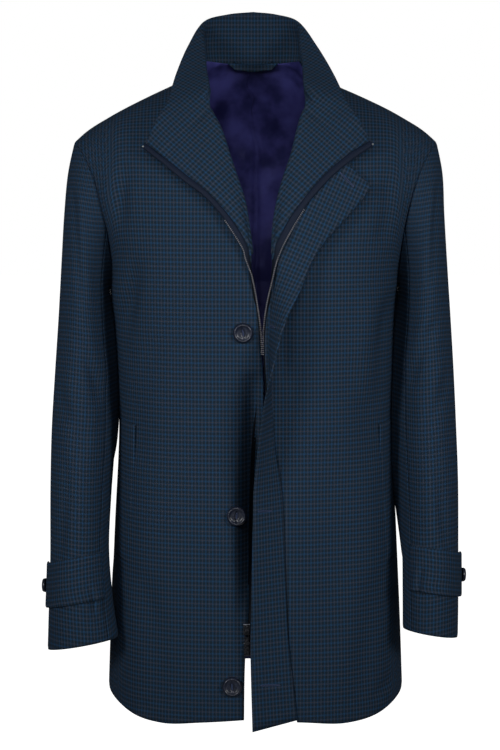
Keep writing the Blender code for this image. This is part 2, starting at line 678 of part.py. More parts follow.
def neck_seam(name, station):
    """Seam line of the collar at stations counted from the centre back to the front edge."""
    side, shoulder = SIDES[name], NECK_STATIONS["station"][-1]
    back = back_neckline(side, smooth(NECK_STATIONS["station"], NECK_STATIONS["x"], station))
    share = np.clip((station - shoulder) / (ROLL_ROW - shoulder), 0, 1)
    front = front_neckline(name, share**2)
    gorge = lapel_points(name, np.clip((station - ROLL_ROW) / GORGE_ROWS, 0, 1), np.zeros_like(station))
    turned = ease(share * 2 - 1)[:, None]
    sideways, forward = np.array([-side, 0, 0]), np.array([0, -1, 0])
    to_middle = unit(back * [-1, -1, 0])
    base = COLLAR_CLOTH / 2 + SEAM_GAP
    lifted = np.array([0, 0, 3 * SEAM_GAP])
    back = back + to_middle * base + lifted
    corner = 2 * SEAM_GAP * (turned + 4 * turned * (1 - turned))
    front = front + unit(sideways * (1 - turned) + forward * turned) * (base + corner)
    front = front + lifted * (1 - turned)
    at = station[:, None]
    return np.where(at <= shoulder, back, np.where(at < ROLL_ROW, front, gorge))


def collar_half(name, station):
    """Neck seam, fold and free edge of one half of the collar at its stations."""
    side, lean = SIDES[name], COLLAR["left_lean"] if name == "left" else 0
    index = np.arange(len(COLLAR["fold_x"]), dtype=float)
    lines = []
    for part in ("fold", "edge"):
        line = stack(side * COLLAR[f"{part}_x"] + lean, COLLAR[f"{part}_y"], COLLAR[f"{part}_z"])
        if part == "edge":
            zip_rows = ZIP_LEFT if name == "left" else ZIP_RIGHT
            x, z, out = [zip_rows[key][0] for key in ("cloth_x", "cloth_z", "cloth_out")]
            line[-1] = x, front_y(x, z) - out, z
        lines.append(np.stack([smooth(index, line[:, k], station) for k in range(3)], axis=-1))
    seam, (fold, edge) = neck_seam(name, station), lines
    wing = ease(station - ROLL_ROW + 1)[:, None]
    flat = seam + (edge - seam) * WING_SHARE + np.array([0, -WING_BULGE, 0])
    return seam, fold + (flat - fold) * wing, edge


def fold_cut(first, second):
    """Share of the way between two lines at which the rounding of the fold ends."""
    return np.minimum(FOLD_ROUND / np.linalg.norm(second - first, axis=-1, keepdims=True), FOLD_CUT)


def collar_grid():
    """Middle of the collar's cloth, columns from right front edge round the back to left front edge.

    Rows go up the stand from neck seam to fold and on over the turned part to the free edge.
    """
    station = np.linspace(0, len(COLLAR["fold_x"]) - 1, COLLAR_COLUMNS // 2 + 1)
    halves = [collar_half(name, station) for name in ("right", "left")]
    seam, fold, edge = [np.concatenate([right[::-1], left[1:]]) for right, left in zip(*halves)]
    rise = np.linspace(0, 1, STAND_ROWS + 1)[:, None, None] * (1 - fold_cut(seam, fold))
    cut = fold_cut(fold, edge)
    fall = cut + (1 - cut) * np.linspace(0, 1, WING_ROWS + 1)[:, None, None]
    grid = np.concatenate([seam + (fold - seam) * rise, fold + (edge - fold) * fall])
    fall = np.concatenate([np.zeros_like(rise), fall])[..., 0]
    x, z = grid[..., 0], grid[..., 2]
    front = np.concatenate([station[::-1], station[1:]])[None] > FALL_STATION
    limit = front_y(x, z) - (COLLAR_CLOTH + FALL_LIFT * fall)
    on_chest = front & (z < shoulder_z(x)) & (fall > FALL_START)
    grid[..., 1] = np.where(on_chest, np.minimum(grid[..., 1], limit), grid[..., 1])
    return grid


COLLAR_FACE = collar_grid()


def collar_facing():
    """Normals of the collar, towards the neck at the back and away from the chest in front."""
    found = unit(np.cross(np.gradient(COLLAR_FACE, axis=1), np.gradient(COLLAR_FACE, axis=0)))
    return found * (-np.sign(found[STAND_ROWS // 2, COLLAR_COLUMNS // 2, 1]))


COLLAR_FACING = collar_facing()


def build_collar():
    half = COLLAR_FACING * COLLAR_CLOTH / 2
    return wall("collar", COLLAR_FACE - half, COLLAR_FACE + half, "coat")


def strip(name, sewn, free, thickness, columns, finish):
    """A flat strip between two edges, as a wall to both sides of its middle."""
    share = np.linspace(0, 1, columns + 1)[None, :, None]
    middle = sewn[:, None] * (1 - share) + free[:, None] * share
    facing = normals(middle, (0, -1, 0)) * thickness / 2
    return wall(name, middle + facing, middle - facing, finish)


def build_flap():
    rows = spread(FLAP, FLAP_ROWS + 1)
    sewn_y = front_y(rows["sewn_x"], rows["sewn_z"]) - rows["sewn_out"]
    free_y = front_y(rows["free_x"], rows["free_z"]) - rows["free_out"]
    sewn = stack(rows["sewn_x"], sewn_y, rows["sewn_z"])
    free = stack(rows["free_x"], free_y, rows["free_z"])
    return strip("storm_flap", sewn, free, STRAP_CLOTH, FLAP_COLUMNS, "coat")


def zip_lines(name):
    rows = spread(ZIP_LEFT if name == "left" else ZIP_RIGHT, TAPE_ROWS + 1)
    lines = []
    for part in ("cloth", "tape"):
        x, z, out = rows[f"{part}_x"], rows[f"{part}_z"], rows[f"{part}_out"]
        lines.append(stack(x, front_y(x, z) - out, z))
    cloth, tape = lines
    cloth = cloth + unit(tape - cloth) * 2 * SEAM_GAP
    return cloth, tape


def build_tape(name):
    cloth, tape = zip_lines(name)
    return strip(f"zip_tape_{name}", cloth, tape, TAPE_CLOTH, 1, "tape")


# Lining, facing of the back neck and hanger loop

PLEAT_COLUMN = BACK_COLUMNS // 2
LINING_HEM_ROW = 1
LINING_SIDE_COLUMN = 2
LINING_TOP_IN = 0.003
NECK_FACING = table("below_top half_columns", [(0.10, 2.05), (1.00, 1.68), (1.35, 1.35)])
LOOP_ROWS = (0.14, 0.34)
LOOP_HALF_COLUMNS = 2.1


def build_lining():
    """The two halves of the back lining, which meet at the pleat in the middle of the back."""
    outside = BACK - BACK_FACING * (COAT_CLOTH + SKIN_GAP)
    inside = outside - BACK_FACING * LINING_CLOTH
    halves = {"right": slice(LINING_SIDE_COLUMN, PLEAT_COLUMN + 1),
              "left": slice(PLEAT_COLUMN, -LINING_SIDE_COLUMN)}
    for name, columns in halves.items():
        walls = [grid[LINING_HEM_ROW:, columns].copy() for grid in (outside, inside)]
        for grid in walls:
            draw_in(grid, column=-1 if name == "right" else 0)
            draw_in(grid, row=-1, by=LINING_TOP_IN)
        wall(f"lining_back_{name}", *walls, "lining")


def build_neck_facing():
    rows = len(BACK) - 1 - NECK_FACING["below_top"][:, None]
    columns = PLEAT_COLUMN + np.linspace(-1, 1, 5) * NECK_FACING["half_columns"][:, None]
    facing = unit(read_grid(BACK_FACING, rows, columns))
    at = read_grid(BACK, rows, columns) - facing * (COAT_CLOTH + LINING_CLOTH + 2 * SKIN_GAP)
    wall("neck_facing", at, at - facing * LINING_CLOTH, "coat")


def build_hanger_loop():
    rows = np.array(LOOP_ROWS)[:, None]
    columns = COLLAR_COLUMNS / 2 + np.linspace(-LOOP_HALF_COLUMNS, LOOP_HALF_COLUMNS, 7)
    at = read_grid(COLLAR_FACE, rows, columns)
    facing = unit(read_grid(COLLAR_FACING, rows, columns))
    start = COLLAR_CLOTH / 2 + SKIN_GAP
    wall("hanger_loop", at + facing * start, at + facing * (start + LINING_CLOTH), "coat")


# Pocket welts and buttons

def build_welt(name):
    grid, facing = FRONTS[name], FACING[name]
    heights = grid[:BODY_ROWS + 1, round(WELT_COLUMNS[0]), 2]
    index = np.arange(len(heights), dtype=float)
    rows = grid_stops(*np.interp([WELT_LOW_Z, WELT_HIGH_Z], heights, index))[:, None]
    columns = grid.shape[1] - 1 + grid_stops(*WELT_COLUMNS)[None]
    at = read_grid(grid, rows, columns)
    out = unit(read_grid(facing, rows, columns))
    wall(f"pocket_welt_{name}", at + out * (SKIN_GAP + STRAP_CLOTH), at + out * SKIN_GAP, "coat")


BUTTON = table("radius height", [
    (0.30, 0.000),
    (0.30, 0.100),
    (0.86, 0.120),
    (1.00, 0.230),
    (1.00, 0.330),
    (0.92, 0.430),
    (0.76, 0.440),
    (0.66, 0.350),
])


def build_button(name, seat, facing, radius):
    """A turned button with a raised rim, its short thread stem standing on the cloth."""
    turn = np.arange(BUTTON_SIDES) * 2 * math.pi / BUTTON_SIDES
    across = unit(np.cross(facing, (0, 0, 1)))
    upward = np.cross(across, facing)
    spokes = np.cos(turn)[:, None] * across + np.sin(turn)[:, None] * upward
    rings = [seat + facing * h * radius + spokes * r * radius for r, h in zip(*BUTTON.values())]
    points = np.concatenate(rings)
    count = len(rings)
    place = np.arange(count * BUTTON_SIDES).reshape(count, BUTTON_SIDES)
    faces = []
    for low, high in zip(place[:-1], place[1:]):
        faces += list(zip(low, np.roll(low, -1), np.roll(high, -1), high))
    faces += [tuple(place[0][::-1]), tuple(place[-1])]
    return add_object(name, points, faces, "button")


def build_front_button(name, x, z):
    at = np.array([x, front_y(x, z), z])
    over = np.array([FRONT_BUTTON_R, front_y(x + FRONT_BUTTON_R, z) - at[1], 0])
    up = np.array([0, front_y(x, z + FRONT_BUTTON_R) - at[1], FRONT_BUTTON_R])
    facing = unit(np.cross(over, up))
    build_button(name, at + facing * SKIN_GAP, facing, FRONT_BUTTON_R)


# Zip hardware

SLIDER_Z = -0.668
SLIDER_WIDTH = 0.0085
SLIDER_LENGTH = 0.0140
SLIDER_DEPTH = 0.0038
SLIDER_ASIDE = 0.0034
SLIDER_BEVEL = 0.0009
CROWN_ROOT = 0.0010
CROWN_WIDTH = 0.0016
CROWN_LENGTH = 0.0090
CROWN_REACH = 0.0030
CROWN_BAR = 0.0012
TAB_WIDTH = 0.0052
TAB_LENGTH = 0.0230
TAB_DEPTH = 0.0012
TAB_WINDOW = (0.0030, 0.0076)
TAB_PIN = 0.0014
TAB_DROP = 0.0018
TAB_BEVEL = 0.0003
BOX_SIZE = (0.0075, 0.0024, 0.0170)
BOX_Z = -0.6935
BOX_BEVEL = 0.0007


def block(name, low, high, finish, bevel=0.0):
    """A box between two corners, with its edges broken where a bevel is given."""
    shape = bmesh.new()
    bmesh.ops.create_cube(shape, size=1)
    low, high = np.array(low), np.array(high)
    for vertex in shape.verts:
        vertex.co = (low + high) / 2 + np.array(vertex.co) * (high - low)
    if bevel:
        bmesh.ops.bevel(shape, geom=shape.edges[:], offset=bevel, segments=2, profile=0.5, affect="EDGES")
    mesh = bpy.data.meshes.new(name)
    shape.to_mesh(mesh)
    shape.free()
    mesh.materials.append(material(finish))
    placed = bpy.data.objects.new(name, mesh)
    bpy.context.scene.collection.objects.link(placed)
    return placed


def combine(target, other, operation):
    """A Boolean modifier on target, with other kept as a hidden helper."""
    cut = target.modifiers.new(other.name, "BOOLEAN")
    cut.operation, cut.solver, cut.object = operation, "EXACT", other
    other.hide_render = True
    other.display_type = "WIRE"


def tape_seat(z, length):
    """Middle of the right tape at z, and the depth just in front of it over a length of it."""
    cloth, tape = zip_lines("right")
    heights = np.array([z + length / 2, z, z - length / 2])
    x = [np.interp(-z, -line[:, 2], line[:, 0]) for line in (cloth, tape)]
    y = [np.interp(-heights, -line[:, 2], line[:, 1]) for line in (cloth, tape)]
    return np.mean(x), np.min(y) - TAPE_CLOTH / 2 - SEAM_GAP


def build_zip_end():
    """The slider with the crown that holds its tab, the tab, and the box at the foot of the zip."""
    x, face = tape_seat(SLIDER_Z, SLIDER_LENGTH)
    x -= SLIDER_ASIDE
    half, front = SLIDER_WIDTH / 2, face - SLIDER_DEPTH
    slider = block("zip_slider", (x - half, front, SLIDER_Z - SLIDER_LENGTH / 2),
                   (x + half, face, SLIDER_Z + SLIDER_LENGTH / 2), "metal", bevel=SLIDER_BEVEL)
    crown_half, reach = CROWN_LENGTH / 2, front - CROWN_REACH
    crown = block("crown_helper", (x - CROWN_WIDTH / 2, reach, SLIDER_Z - crown_half),
                  (x + CROWN_WIDTH / 2, front + CROWN_ROOT, SLIDER_Z + crown_half), "metal")
    under = block("crown_cut_helper", (x - CROWN_WIDTH, reach + CROWN_BAR, SLIDER_Z - crown_half + CROWN_BAR),
                  (x + CROWN_WIDTH, front, SLIDER_Z + crown_half - CROWN_BAR), "metal")
    combine(slider, crown, "UNION")
    combine(slider, under, "DIFFERENCE")
    build_tab(x, front - (CROWN_REACH - CROWN_BAR) / 2, SLIDER_Z - TAB_DROP)
    wide, deep, tall = BOX_SIZE
    _, face = tape_seat(BOX_Z, tall)
    block("zip_box", (x - wide / 2, face - deep, BOX_Z - tall / 2),
          (x + wide / 2, face, BOX_Z + tall / 2), "metal", bevel=BOX_BEVEL)


def build_tab(x, pin_y, pin_z):
    """The pull tab, hanging from the slider's crown, with its origin on the axis it turns about."""
    axis = bpy.data.objects.new("zip_pull_axis", None)
    axis.location = (x, pin_y, pin_z)
    bpy.context.scene.collection.objects.link(axis)
    half, deep = TAB_WIDTH / 2, TAB_DEPTH / 2
    tab = block("zip_pull", (-half, -deep, TAB_PIN / 2 - TAB_LENGTH), (half, deep, TAB_PIN / 2), "metal",
                bevel=TAB_BEVEL)
    wide, tall = TAB_WINDOW
    window = block("tab_window_helper", (-wide / 2, -TAB_DEPTH, -TAB_PIN / 2 - tall),
                   (wide / 2, TAB_DEPTH, -TAB_PIN / 2), "metal")
    combine(tab, window, "DIFFERENCE")
    tab.parent = axis
    window.parent = axis


def main():
    build_back()
    for name in FRONTS:
        build_front(name)
        build_sleeve(name)
        build_strap(name)
        build_cuff_button(name)
        build_facing(name)
        build_tape(name)
        build_welt(name)
    build_collar()
    build_flap()
    build_lining()
    build_neck_facing()
    build_hanger_loop()
    for name, (x, z) in FRONT_BUTTONS.items():
        build_front_button(name, x, z)
    build_zip_end()


main()
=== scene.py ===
# %% [markdown]
# # A car coat, worn open and empty
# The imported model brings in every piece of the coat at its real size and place. The solids have few
# faces, as a collision model should. In this lesson each cloth piece is worked out again as a fine
# surface on the same lines, with its creases, seams and weave, and it then stands for its solid.

# %% Load the frame
import math

import bpy
import numpy as np
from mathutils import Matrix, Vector


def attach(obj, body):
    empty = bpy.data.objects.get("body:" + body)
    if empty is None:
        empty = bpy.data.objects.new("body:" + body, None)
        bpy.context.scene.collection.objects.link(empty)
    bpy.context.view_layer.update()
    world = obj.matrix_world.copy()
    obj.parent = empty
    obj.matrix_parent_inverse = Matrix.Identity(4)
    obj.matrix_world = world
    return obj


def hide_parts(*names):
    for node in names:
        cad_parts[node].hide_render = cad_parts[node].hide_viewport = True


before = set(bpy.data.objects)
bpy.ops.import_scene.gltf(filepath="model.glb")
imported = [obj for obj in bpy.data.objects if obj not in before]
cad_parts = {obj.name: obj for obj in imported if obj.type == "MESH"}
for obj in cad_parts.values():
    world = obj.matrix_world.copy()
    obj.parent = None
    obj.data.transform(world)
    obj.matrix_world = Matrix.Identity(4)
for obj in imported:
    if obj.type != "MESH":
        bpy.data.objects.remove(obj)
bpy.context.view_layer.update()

# %% [markdown]
# ## Tables and curves
# A pattern cutter keeps a coat as a short list of measures and draws smooth curves through them. Here a
# measure is a row of a small table, and smooth() draws the curve. Metres, +Z up, the front faces -Y and
# the wearer's left is +X.

# %% Small tools


def table(columns, rows):
    """Named columns of a short table, as arrays."""
    return dict(zip(columns.split(), np.array(rows, float).T))


def smooth(places, values, at):
    """Cubic pieces through the points: each piece takes its end slopes from the points either side."""
    slopes = np.gradient(values, places)
    at = np.clip(at, places[0], places[-1])
    i = np.clip(np.searchsorted(places, at) - 1, 0, len(places) - 2)
    step = places[i + 1] - places[i]
    t = (at - places[i]) / step
    start = (1 + 2 * t) * (1 - t) ** 2 * values[i] + t * (1 - t) ** 2 * step * slopes[i]
    return start + t * t * (3 - 2 * t) * values[i + 1] + t * t * (t - 1) * step * slopes[i + 1]


def row_at(rows, at):
    """The table's columns read at fractional row numbers."""
    index = np.arange(len(next(iter(rows.values()))), dtype=float)
    return {name: smooth(index, values, at) for name, values in rows.items()}


TINY = 1e-12


def unit(vectors):
    """Each vector divided by its length."""
    return vectors / np.maximum(np.linalg.norm(vectors, axis=-1, keepdims=True), TINY)


def stack(x, y, z):
    """Three arrays of coordinates as one array of points."""
    return np.stack(np.broadcast_arrays(x, y, z), axis=-1).astype(float)


def ease(t):
    """0 below 0, 1 above 1, and 3tt - 2ttt between."""
    t = np.clip(t, 0, 1)
    return t * t * (3 - 2 * t)


def bell(t):
    """exp(-tt): 1 in the middle, falling away smoothly on both sides."""
    return np.exp(-t * t)


def read_grid(grid, rows, columns):
    """Points of a grid at fractional rows and columns, straight between its own points."""
    rows, columns = np.broadcast_arrays(np.asarray(rows, float), np.asarray(columns, float))
    r = np.clip(rows.astype(int), 0, grid.shape[0] - 2)
    c = np.clip(columns.astype(int), 0, grid.shape[1] - 2)
    s, t = (rows - r)[..., None], (columns - c)[..., None]
    low = grid[r, c] * (1 - t) + grid[r, c + 1] * t
    return low * (1 - s) + (grid[r + 1, c] * (1 - t) + grid[r + 1, c + 1] * t) * s


# %% [markdown]
# ## The torso
# Fronts and back hang as one rounded shell. Below the chest line every section is an oval whose half
# width, front and back come from a table. Above it the same oval climbs and closes to the shoulder line,
# and the armholes cut its ends off.

# %% Torso measures and surfaces
COAT_CLOTH = 0.0020
COLLAR_CLOTH = 0.0024
FACING_CLOTH = 0.0024
STRAP_CLOTH = 0.0020
LINING_CLOTH = 0.0012
TAPE_CLOTH = 0.0014
SEAM_GAP = 0.0004
SKIN_GAP = 0.0008

CHEST_Z = -0.247
HEM_Z = -0.784
BACK_HEM_Z = -0.771
LEFT_EXTRA = 0.0065
EXTRA_FROM = 0.050
EXTRA_OVER = 0.130
CHEST_HALF = 0.180
CHEST_FRONT = 0.140
CHEST_BACK = 0.130
RIDGE_Y = 0.006
SHOULDER_TIP_X = 0.230
NECK_X = 0.068
FRONT_ROUND = 2.6
BACK_ROUND = 2.4
UPPER_BACK_ROUND = 3.2
NECK_DROP = 0.050
FRONT_TUCK = 0.128
BACK_TUCK = 0.100
TUCK_RISE = 0.75
ARMHOLE_SCOOP = 2.1
BACK_ARMHOLE_SCOOP = 1.7

BODY_ROWS = 104
YOKE_ROWS = 45
FRONT_COLUMNS = 66
BACK_COLUMNS = 120
NECK_COLUMNS = 72
EDGE_PASSES = 12
SIDES = {"right": -1, "left": 1}

TORSO = table("z half front back", [
    (-0.810, 0.190, 0.151, 0.140),
    (-0.700, 0.186, 0.147, 0.136),
    (-0.570, 0.180, 0.142, 0.130),
    (-0.420, 0.1735, 0.136, 0.119),
    (-0.330, 0.1755, 0.138, 0.123),
    (-0.247, 0.180, 0.140, 0.130),
])
HEM = table("share z", [
    (0.00, -0.783),
    (0.35, -0.788),
    (0.62, -0.7915),
    (0.82, -0.785),
    (1.00, -0.768),
])
SHOULDER = table("x z", [
    (0.000, 0.053),
    (0.040, 0.050),
    (0.056, 0.0410),
    (0.068, 0.0265),
    (0.105, 0.009),
    (0.133, -0.004),
    (0.185, -0.031),
    (0.215, -0.050),
    (0.235, -0.068),
])
FRONT_EDGE = table("z right left", [
    (-0.800, -0.0115, 0.0570),
    (-0.700, -0.0095, 0.0460),
    (-0.640, -0.0050, 0.0430),
    (-0.570, 0.0020, 0.0400),
    (-0.487, 0.0050, 0.0345),
    (-0.444, 0.0070, 0.0272),
    (-0.385, 0.0128, 0.0190),
    (-0.345, 0.0120, 0.0155),
    (-0.312, 0.0085, 0.0142),
    (-0.268, 0.0040, 0.0176),
    (-0.230, -0.0022, 0.0240),
    (-0.193, -0.0045, 0.0262),
    (-0.165, -0.0081, 0.0277),
    (-0.133, -0.0138, 0.0331),
    (-0.103, -0.0237, 0.0415),
    (-0.077, -0.0324, 0.0505),
    (-0.050, -0.0412, 0.0572),
    (-0.022, -0.0530, 0.0642),
    (0.004, -0.0568, 0.0670),
    (0.0265, -0.0680, 0.0680),
])


def widen(x):
    """The wearer's left side, which stands a little wider than the right."""
    return x + LEFT_EXTRA * ease((x - EXTRA_FROM) / EXTRA_OVER)


def half_oval(x, half, power):
    """Depth share of a rounded section: (1 - (x / half)^power)^(1 / power)."""
    return (1 - np.clip(np.abs(x) / half, 0, 1) ** power) ** (1 / power)


def shoulder_z(x):
    """Height of the shoulder line at x."""
    return smooth(SHOULDER["x"], SHOULDER["z"], np.abs(x))


def armhole_x(rise, scoop):
    """Armhole edge: from the chest width out to the shoulder tip as rise^scoop."""
    return CHEST_HALF + (SHOULDER_TIP_X - CHEST_HALF) * rise**scoop


def front_half(rise):
    """Half width of the whole upper front, of which the armhole cuts off the end."""
    return armhole_x(rise, ARMHOLE_SCOOP) / (1 - FRONT_TUCK * ease(rise / TUCK_RISE))


def back_half(rise):
    """Half width of the whole upper back, of which the armhole cuts off the end."""
    return armhole_x(rise, BACK_ARMHOLE_SCOOP) / (1 - BACK_TUCK * ease(rise / TUCK_RISE))


def front_yoke_y(x, rise):
    """Depth above the chest: the chest oval shrinks with rise as a quarter circle does."""
    return RIDGE_Y * rise - CHEST_FRONT * np.sqrt(1 - rise**2) * half_oval(x, front_half(rise), FRONT_ROUND)


def back_yoke_y(x, rise):
    """Depth of the upper back, which stays full for longer than the front does."""
    fall = (1 - rise**UPPER_BACK_ROUND) ** (1 / UPPER_BACK_ROUND)
    return RIDGE_Y * rise + CHEST_BACK * fall * half_oval(x, back_half(rise), BACK_ROUND)


def torso(column, z):
    """One measure of the torso table at height z."""
    return smooth(TORSO["z"], TORSO[column], z)


def front_y(x, z):
    """Depth of the front's outer face at x and z, above and below the chest line."""
    x = 2 * x - widen(x)
    below = -torso("front", z) * half_oval(x, torso("half", z), FRONT_ROUND)
    rise = np.clip((z - CHEST_Z) / (shoulder_z(x) - CHEST_Z), 0, 1)
    return np.where(z < CHEST_Z, below, front_yoke_y(x, rise))


def yoke_rises():
    """Row heights above the chest, closer together near the shoulder: the sine of even angles."""
    return np.sin(np.linspace(0, math.pi / 2, YOKE_ROWS + 1))


def front_grid(side):
    """Outer face of one front, rows from hem to shoulder and columns from front edge to side."""
    edge = side * FRONT_EDGE["left" if side > 0 else "right"]
    across = np.linspace(0, 1, FRONT_COLUMNS + 1)
    up = np.linspace(0, 1, BODY_ROWS + 1)[:-1, None]
    level = HEM_Z + (CHEST_Z - HEM_Z) * up
    half = torso("half", level)
    first = np.arcsin(smooth(FRONT_EDGE["z"], edge, level) / half)
    x = half * np.sin(first + (math.pi / 2 - first) * across)
    z = level + (smooth(HEM["share"], HEM["z"], x / half) - HEM_Z) * (1 - up)
    low = stack(x, -torso("front", z) * half_oval(x, half, FRONT_ROUND), z)
    rise = yoke_rises()[:, None]
    half = front_half(rise)
    start = np.full_like(rise, NECK_X)
    for _ in range(EDGE_PASSES):
        start = smooth(FRONT_EDGE["z"], edge, CHEST_Z + (shoulder_z(start) - CHEST_Z) * rise)
    first, last = np.arcsin(start / half), np.arcsin(armhole_x(rise, ARMHOLE_SCOOP) / half)
    x = half * np.sin(first + (last - first) * across)
    high = stack(x, front_yoke_y(x, rise), CHEST_Z + (shoulder_z(x) - CHEST_Z) * rise)
    grid = np.concatenate([low, high])
    grid[..., 0] = widen(side * grid[..., 0])
    return grid


def back_grid():
    """Outer face of the back, rows from hem to shoulder and neckline, columns from right to left."""
    turn = np.linspace(-1, 1, BACK_COLUMNS + 1) * math.pi / 2
    up = np.linspace(0, 1, BODY_ROWS + 1)[:-1, None]
    level = HEM_Z + (CHEST_Z - HEM_Z) * up
    half = torso("half", level)
    x = half * np.sin(turn)
    hem = BACK_HEM_Z + (HEM["z"][-1] - BACK_HEM_Z) * (x / half) ** 2
    z = level + (hem - HEM_Z) * (1 - up)
    low = stack(x, torso("back", z) * half_oval(x, half, BACK_ROUND), z)
    rise = yoke_rises()[:, None]
    half, last = back_half(rise), armhole_x(rise, BACK_ARMHOLE_SCOOP)
    even = half * np.sin(np.linspace(-1, 1, BACK_COLUMNS + 1) * np.arcsin(last / half))
    at = (np.arange(BACK_COLUMNS + 1) - BACK_COLUMNS / 2) / (NECK_COLUMNS / 2)
    reach = 1 + (SHOULDER_TIP_X / NECK_X - 1) * (np.abs(at) - 1) / (np.abs(at[0]) - 1)
    shares = np.sign(at) * np.where(np.abs(at) < 1, np.sin(np.abs(at) * math.pi / 2), reach)
    shares = shares * NECK_X / SHOULDER_TIP_X
    x = even + (last * shares - even) * ease(rise)
    top = 1 - NECK_DROP * np.clip(1 - (last[-1] * shares / NECK_X) ** 2, 0, 1)
    rise = rise * top
    high = stack(x, back_yoke_y(x, rise), CHEST_Z + (shoulder_z(x) - CHEST_Z) * rise)
    grid = np.concatenate([low, high])
    grid[..., 0] = widen(grid[..., 0])
    return grid


def normals(grid, toward):
    """Unit normals from the cross product of the two grid directions, on the side of toward."""
    found = unit(np.cross(np.gradient(grid, axis=0), np.gradient(grid, axis=1)))
    return found * np.sign((found * toward).sum(-1).mean())


FRONTS = {name: front_grid(side) for name, side in SIDES.items()}
BACK = back_grid()
print("front grid:", FRONTS["right"].shape, "back grid:", BACK.shape)

# %% [markdown]
# ## Shader maths
# Node trees are quicker to read as sums than as a web of wires. Wire holds one output socket. A sum or a
# product on it adds a Math node, and add() makes any other node from its settings and its sockets.

# %% Wire


class Wire:
    """One output socket of a material, on which Python's operators add Math nodes."""

    def __init__(self, tree, socket=None):
        self.tree, self.socket = tree, socket

    def add(self, kind, settings=(), sockets=(), out=0):
        """A node of this kind: settings first, then the value or the link of each socket."""
        node = self.tree.nodes.new(kind)
        for name, value in dict(settings).items():
            setattr(node, name, value)
        for key, value in dict(sockets).items():
            if isinstance(value, Wire):
                self.tree.links.new(value.socket, node.inputs[key])
            else:
                node.inputs[key].default_value = value
        return Wire(self.tree, node.outputs[out])

    def maths(self, operation, *others):
        return self.add("ShaderNodeMath", {"operation": operation}, enumerate((self, *others)))

    def __add__(self, other):
        return self.maths("ADD", other)

    def __sub__(self, other):
        return self.maths("SUBTRACT", other)

    def __rsub__(self, other):
        return self.add("ShaderNodeMath", {"operation": "SUBTRACT"}, {0: other, 1: self})

    def __mul__(self, other):
        return self.maths("MULTIPLY", other)

    def __truediv__(self, other):
        return self.maths("DIVIDE", other)

    __radd__, __rmul__ = __add__, __mul__

    def fraction(self):
        return self.maths("FRACT")

    def split(self):
        """The first two parts of a vector, such as a UV place."""
        first = self.add("ShaderNodeSeparateXYZ", sockets={0: self})
        return first, Wire(self.tree, first.socket.node.outputs[1])

    def between(self, low, high):
        """0 below low, 1 above high and a smooth step between."""
        return self.add("ShaderNodeMapRange", {"interpolation_type": "SMOOTHSTEP"},
                        {"Value": self, "From Min": low, "From Max": high})

    def tint(self, first, second):
        """first where this value is 0 and second where it is 1; either may be a colour or a Wire."""
        return self.add("ShaderNodeMix", {"data_type": "RGBA"}, {0: self, 6: first, 7: second}, out=2)


def finish(name, **constants):
    """A new material, its Principled shader with these constant sockets, and a Wire to build on."""
    made = bpy.data.materials.new(name)
    made.use_nodes = True
    shader = made.node_tree.nodes["Principled BSDF"]
    for key, value in constants.items():
        shader.inputs[key.replace("_", " ")].default_value = value
    return made, shader, Wire(made.node_tree)


def plug(shader, **wires):
    """Links Wires to sockets of a shader."""
    for key, wire in wires.items():
        wire.tree.links.new(wire.socket, shader.inputs[key.replace("_", " ")])


# %% [markdown]
# ## The check cloth
# The cloth is woven with a dark blue-green ground and blue bars both ways. Every second bar has a thin
# brown line in it. About half of the yarn on show runs each way, so the two sets of bars are averaged,
# and a crossing shows bluest. The bars are set by the cloth's own UV map, which counts metres along and
# across the cut piece, so the check turns with each lapel as it does on the real coat. A fine twill raises
# the surface a little.

# %% Check cloth finish
CHECK_ACROSS = 0.0044
CHECK_ALONG = 0.0057
BAR_HALF = 0.11
BAR_SOFT = 0.20
LINE_HALF = 0.06
LINE_SOFT = 0.12
WEFT_SHARE = 0.47
GROUND = (0.0096, 0.0170, 0.0256, 1)
BLUE_BAR = (0.0128, 0.0400, 0.0890, 1)
BROWN_LINE = (0.0360, 0.0375, 0.0480, 1)
YARN_SCALE = 900.0
YARN_TONE = (0.80, 0.40)
TWILL_PITCH = 0.0011
TWILL_BUMP = 0.25
TWILL_DEPTH = 0.0002
TURN_EDGE = (0.49, 0.51)
YARN_RANGE = (0.25, 0.75)
CLOTH_ROUGH = 0.9
CLOTH_SHINE = 0.06


def bars(position, pitch):
    """Mask of the bars across a position, and of the thin line in the middle of every second bar."""
    step = position / pitch
    off = (step.fraction() - 0.5).maths("ABSOLUTE")
    turn = (step * 0.5).fraction().between(*TURN_EDGE)
    bar = 1 - off.between(BAR_HALF, BAR_HALF + BAR_SOFT)
    return bar, turn * (1 - off.between(LINE_HALF, LINE_HALF + LINE_SOFT))


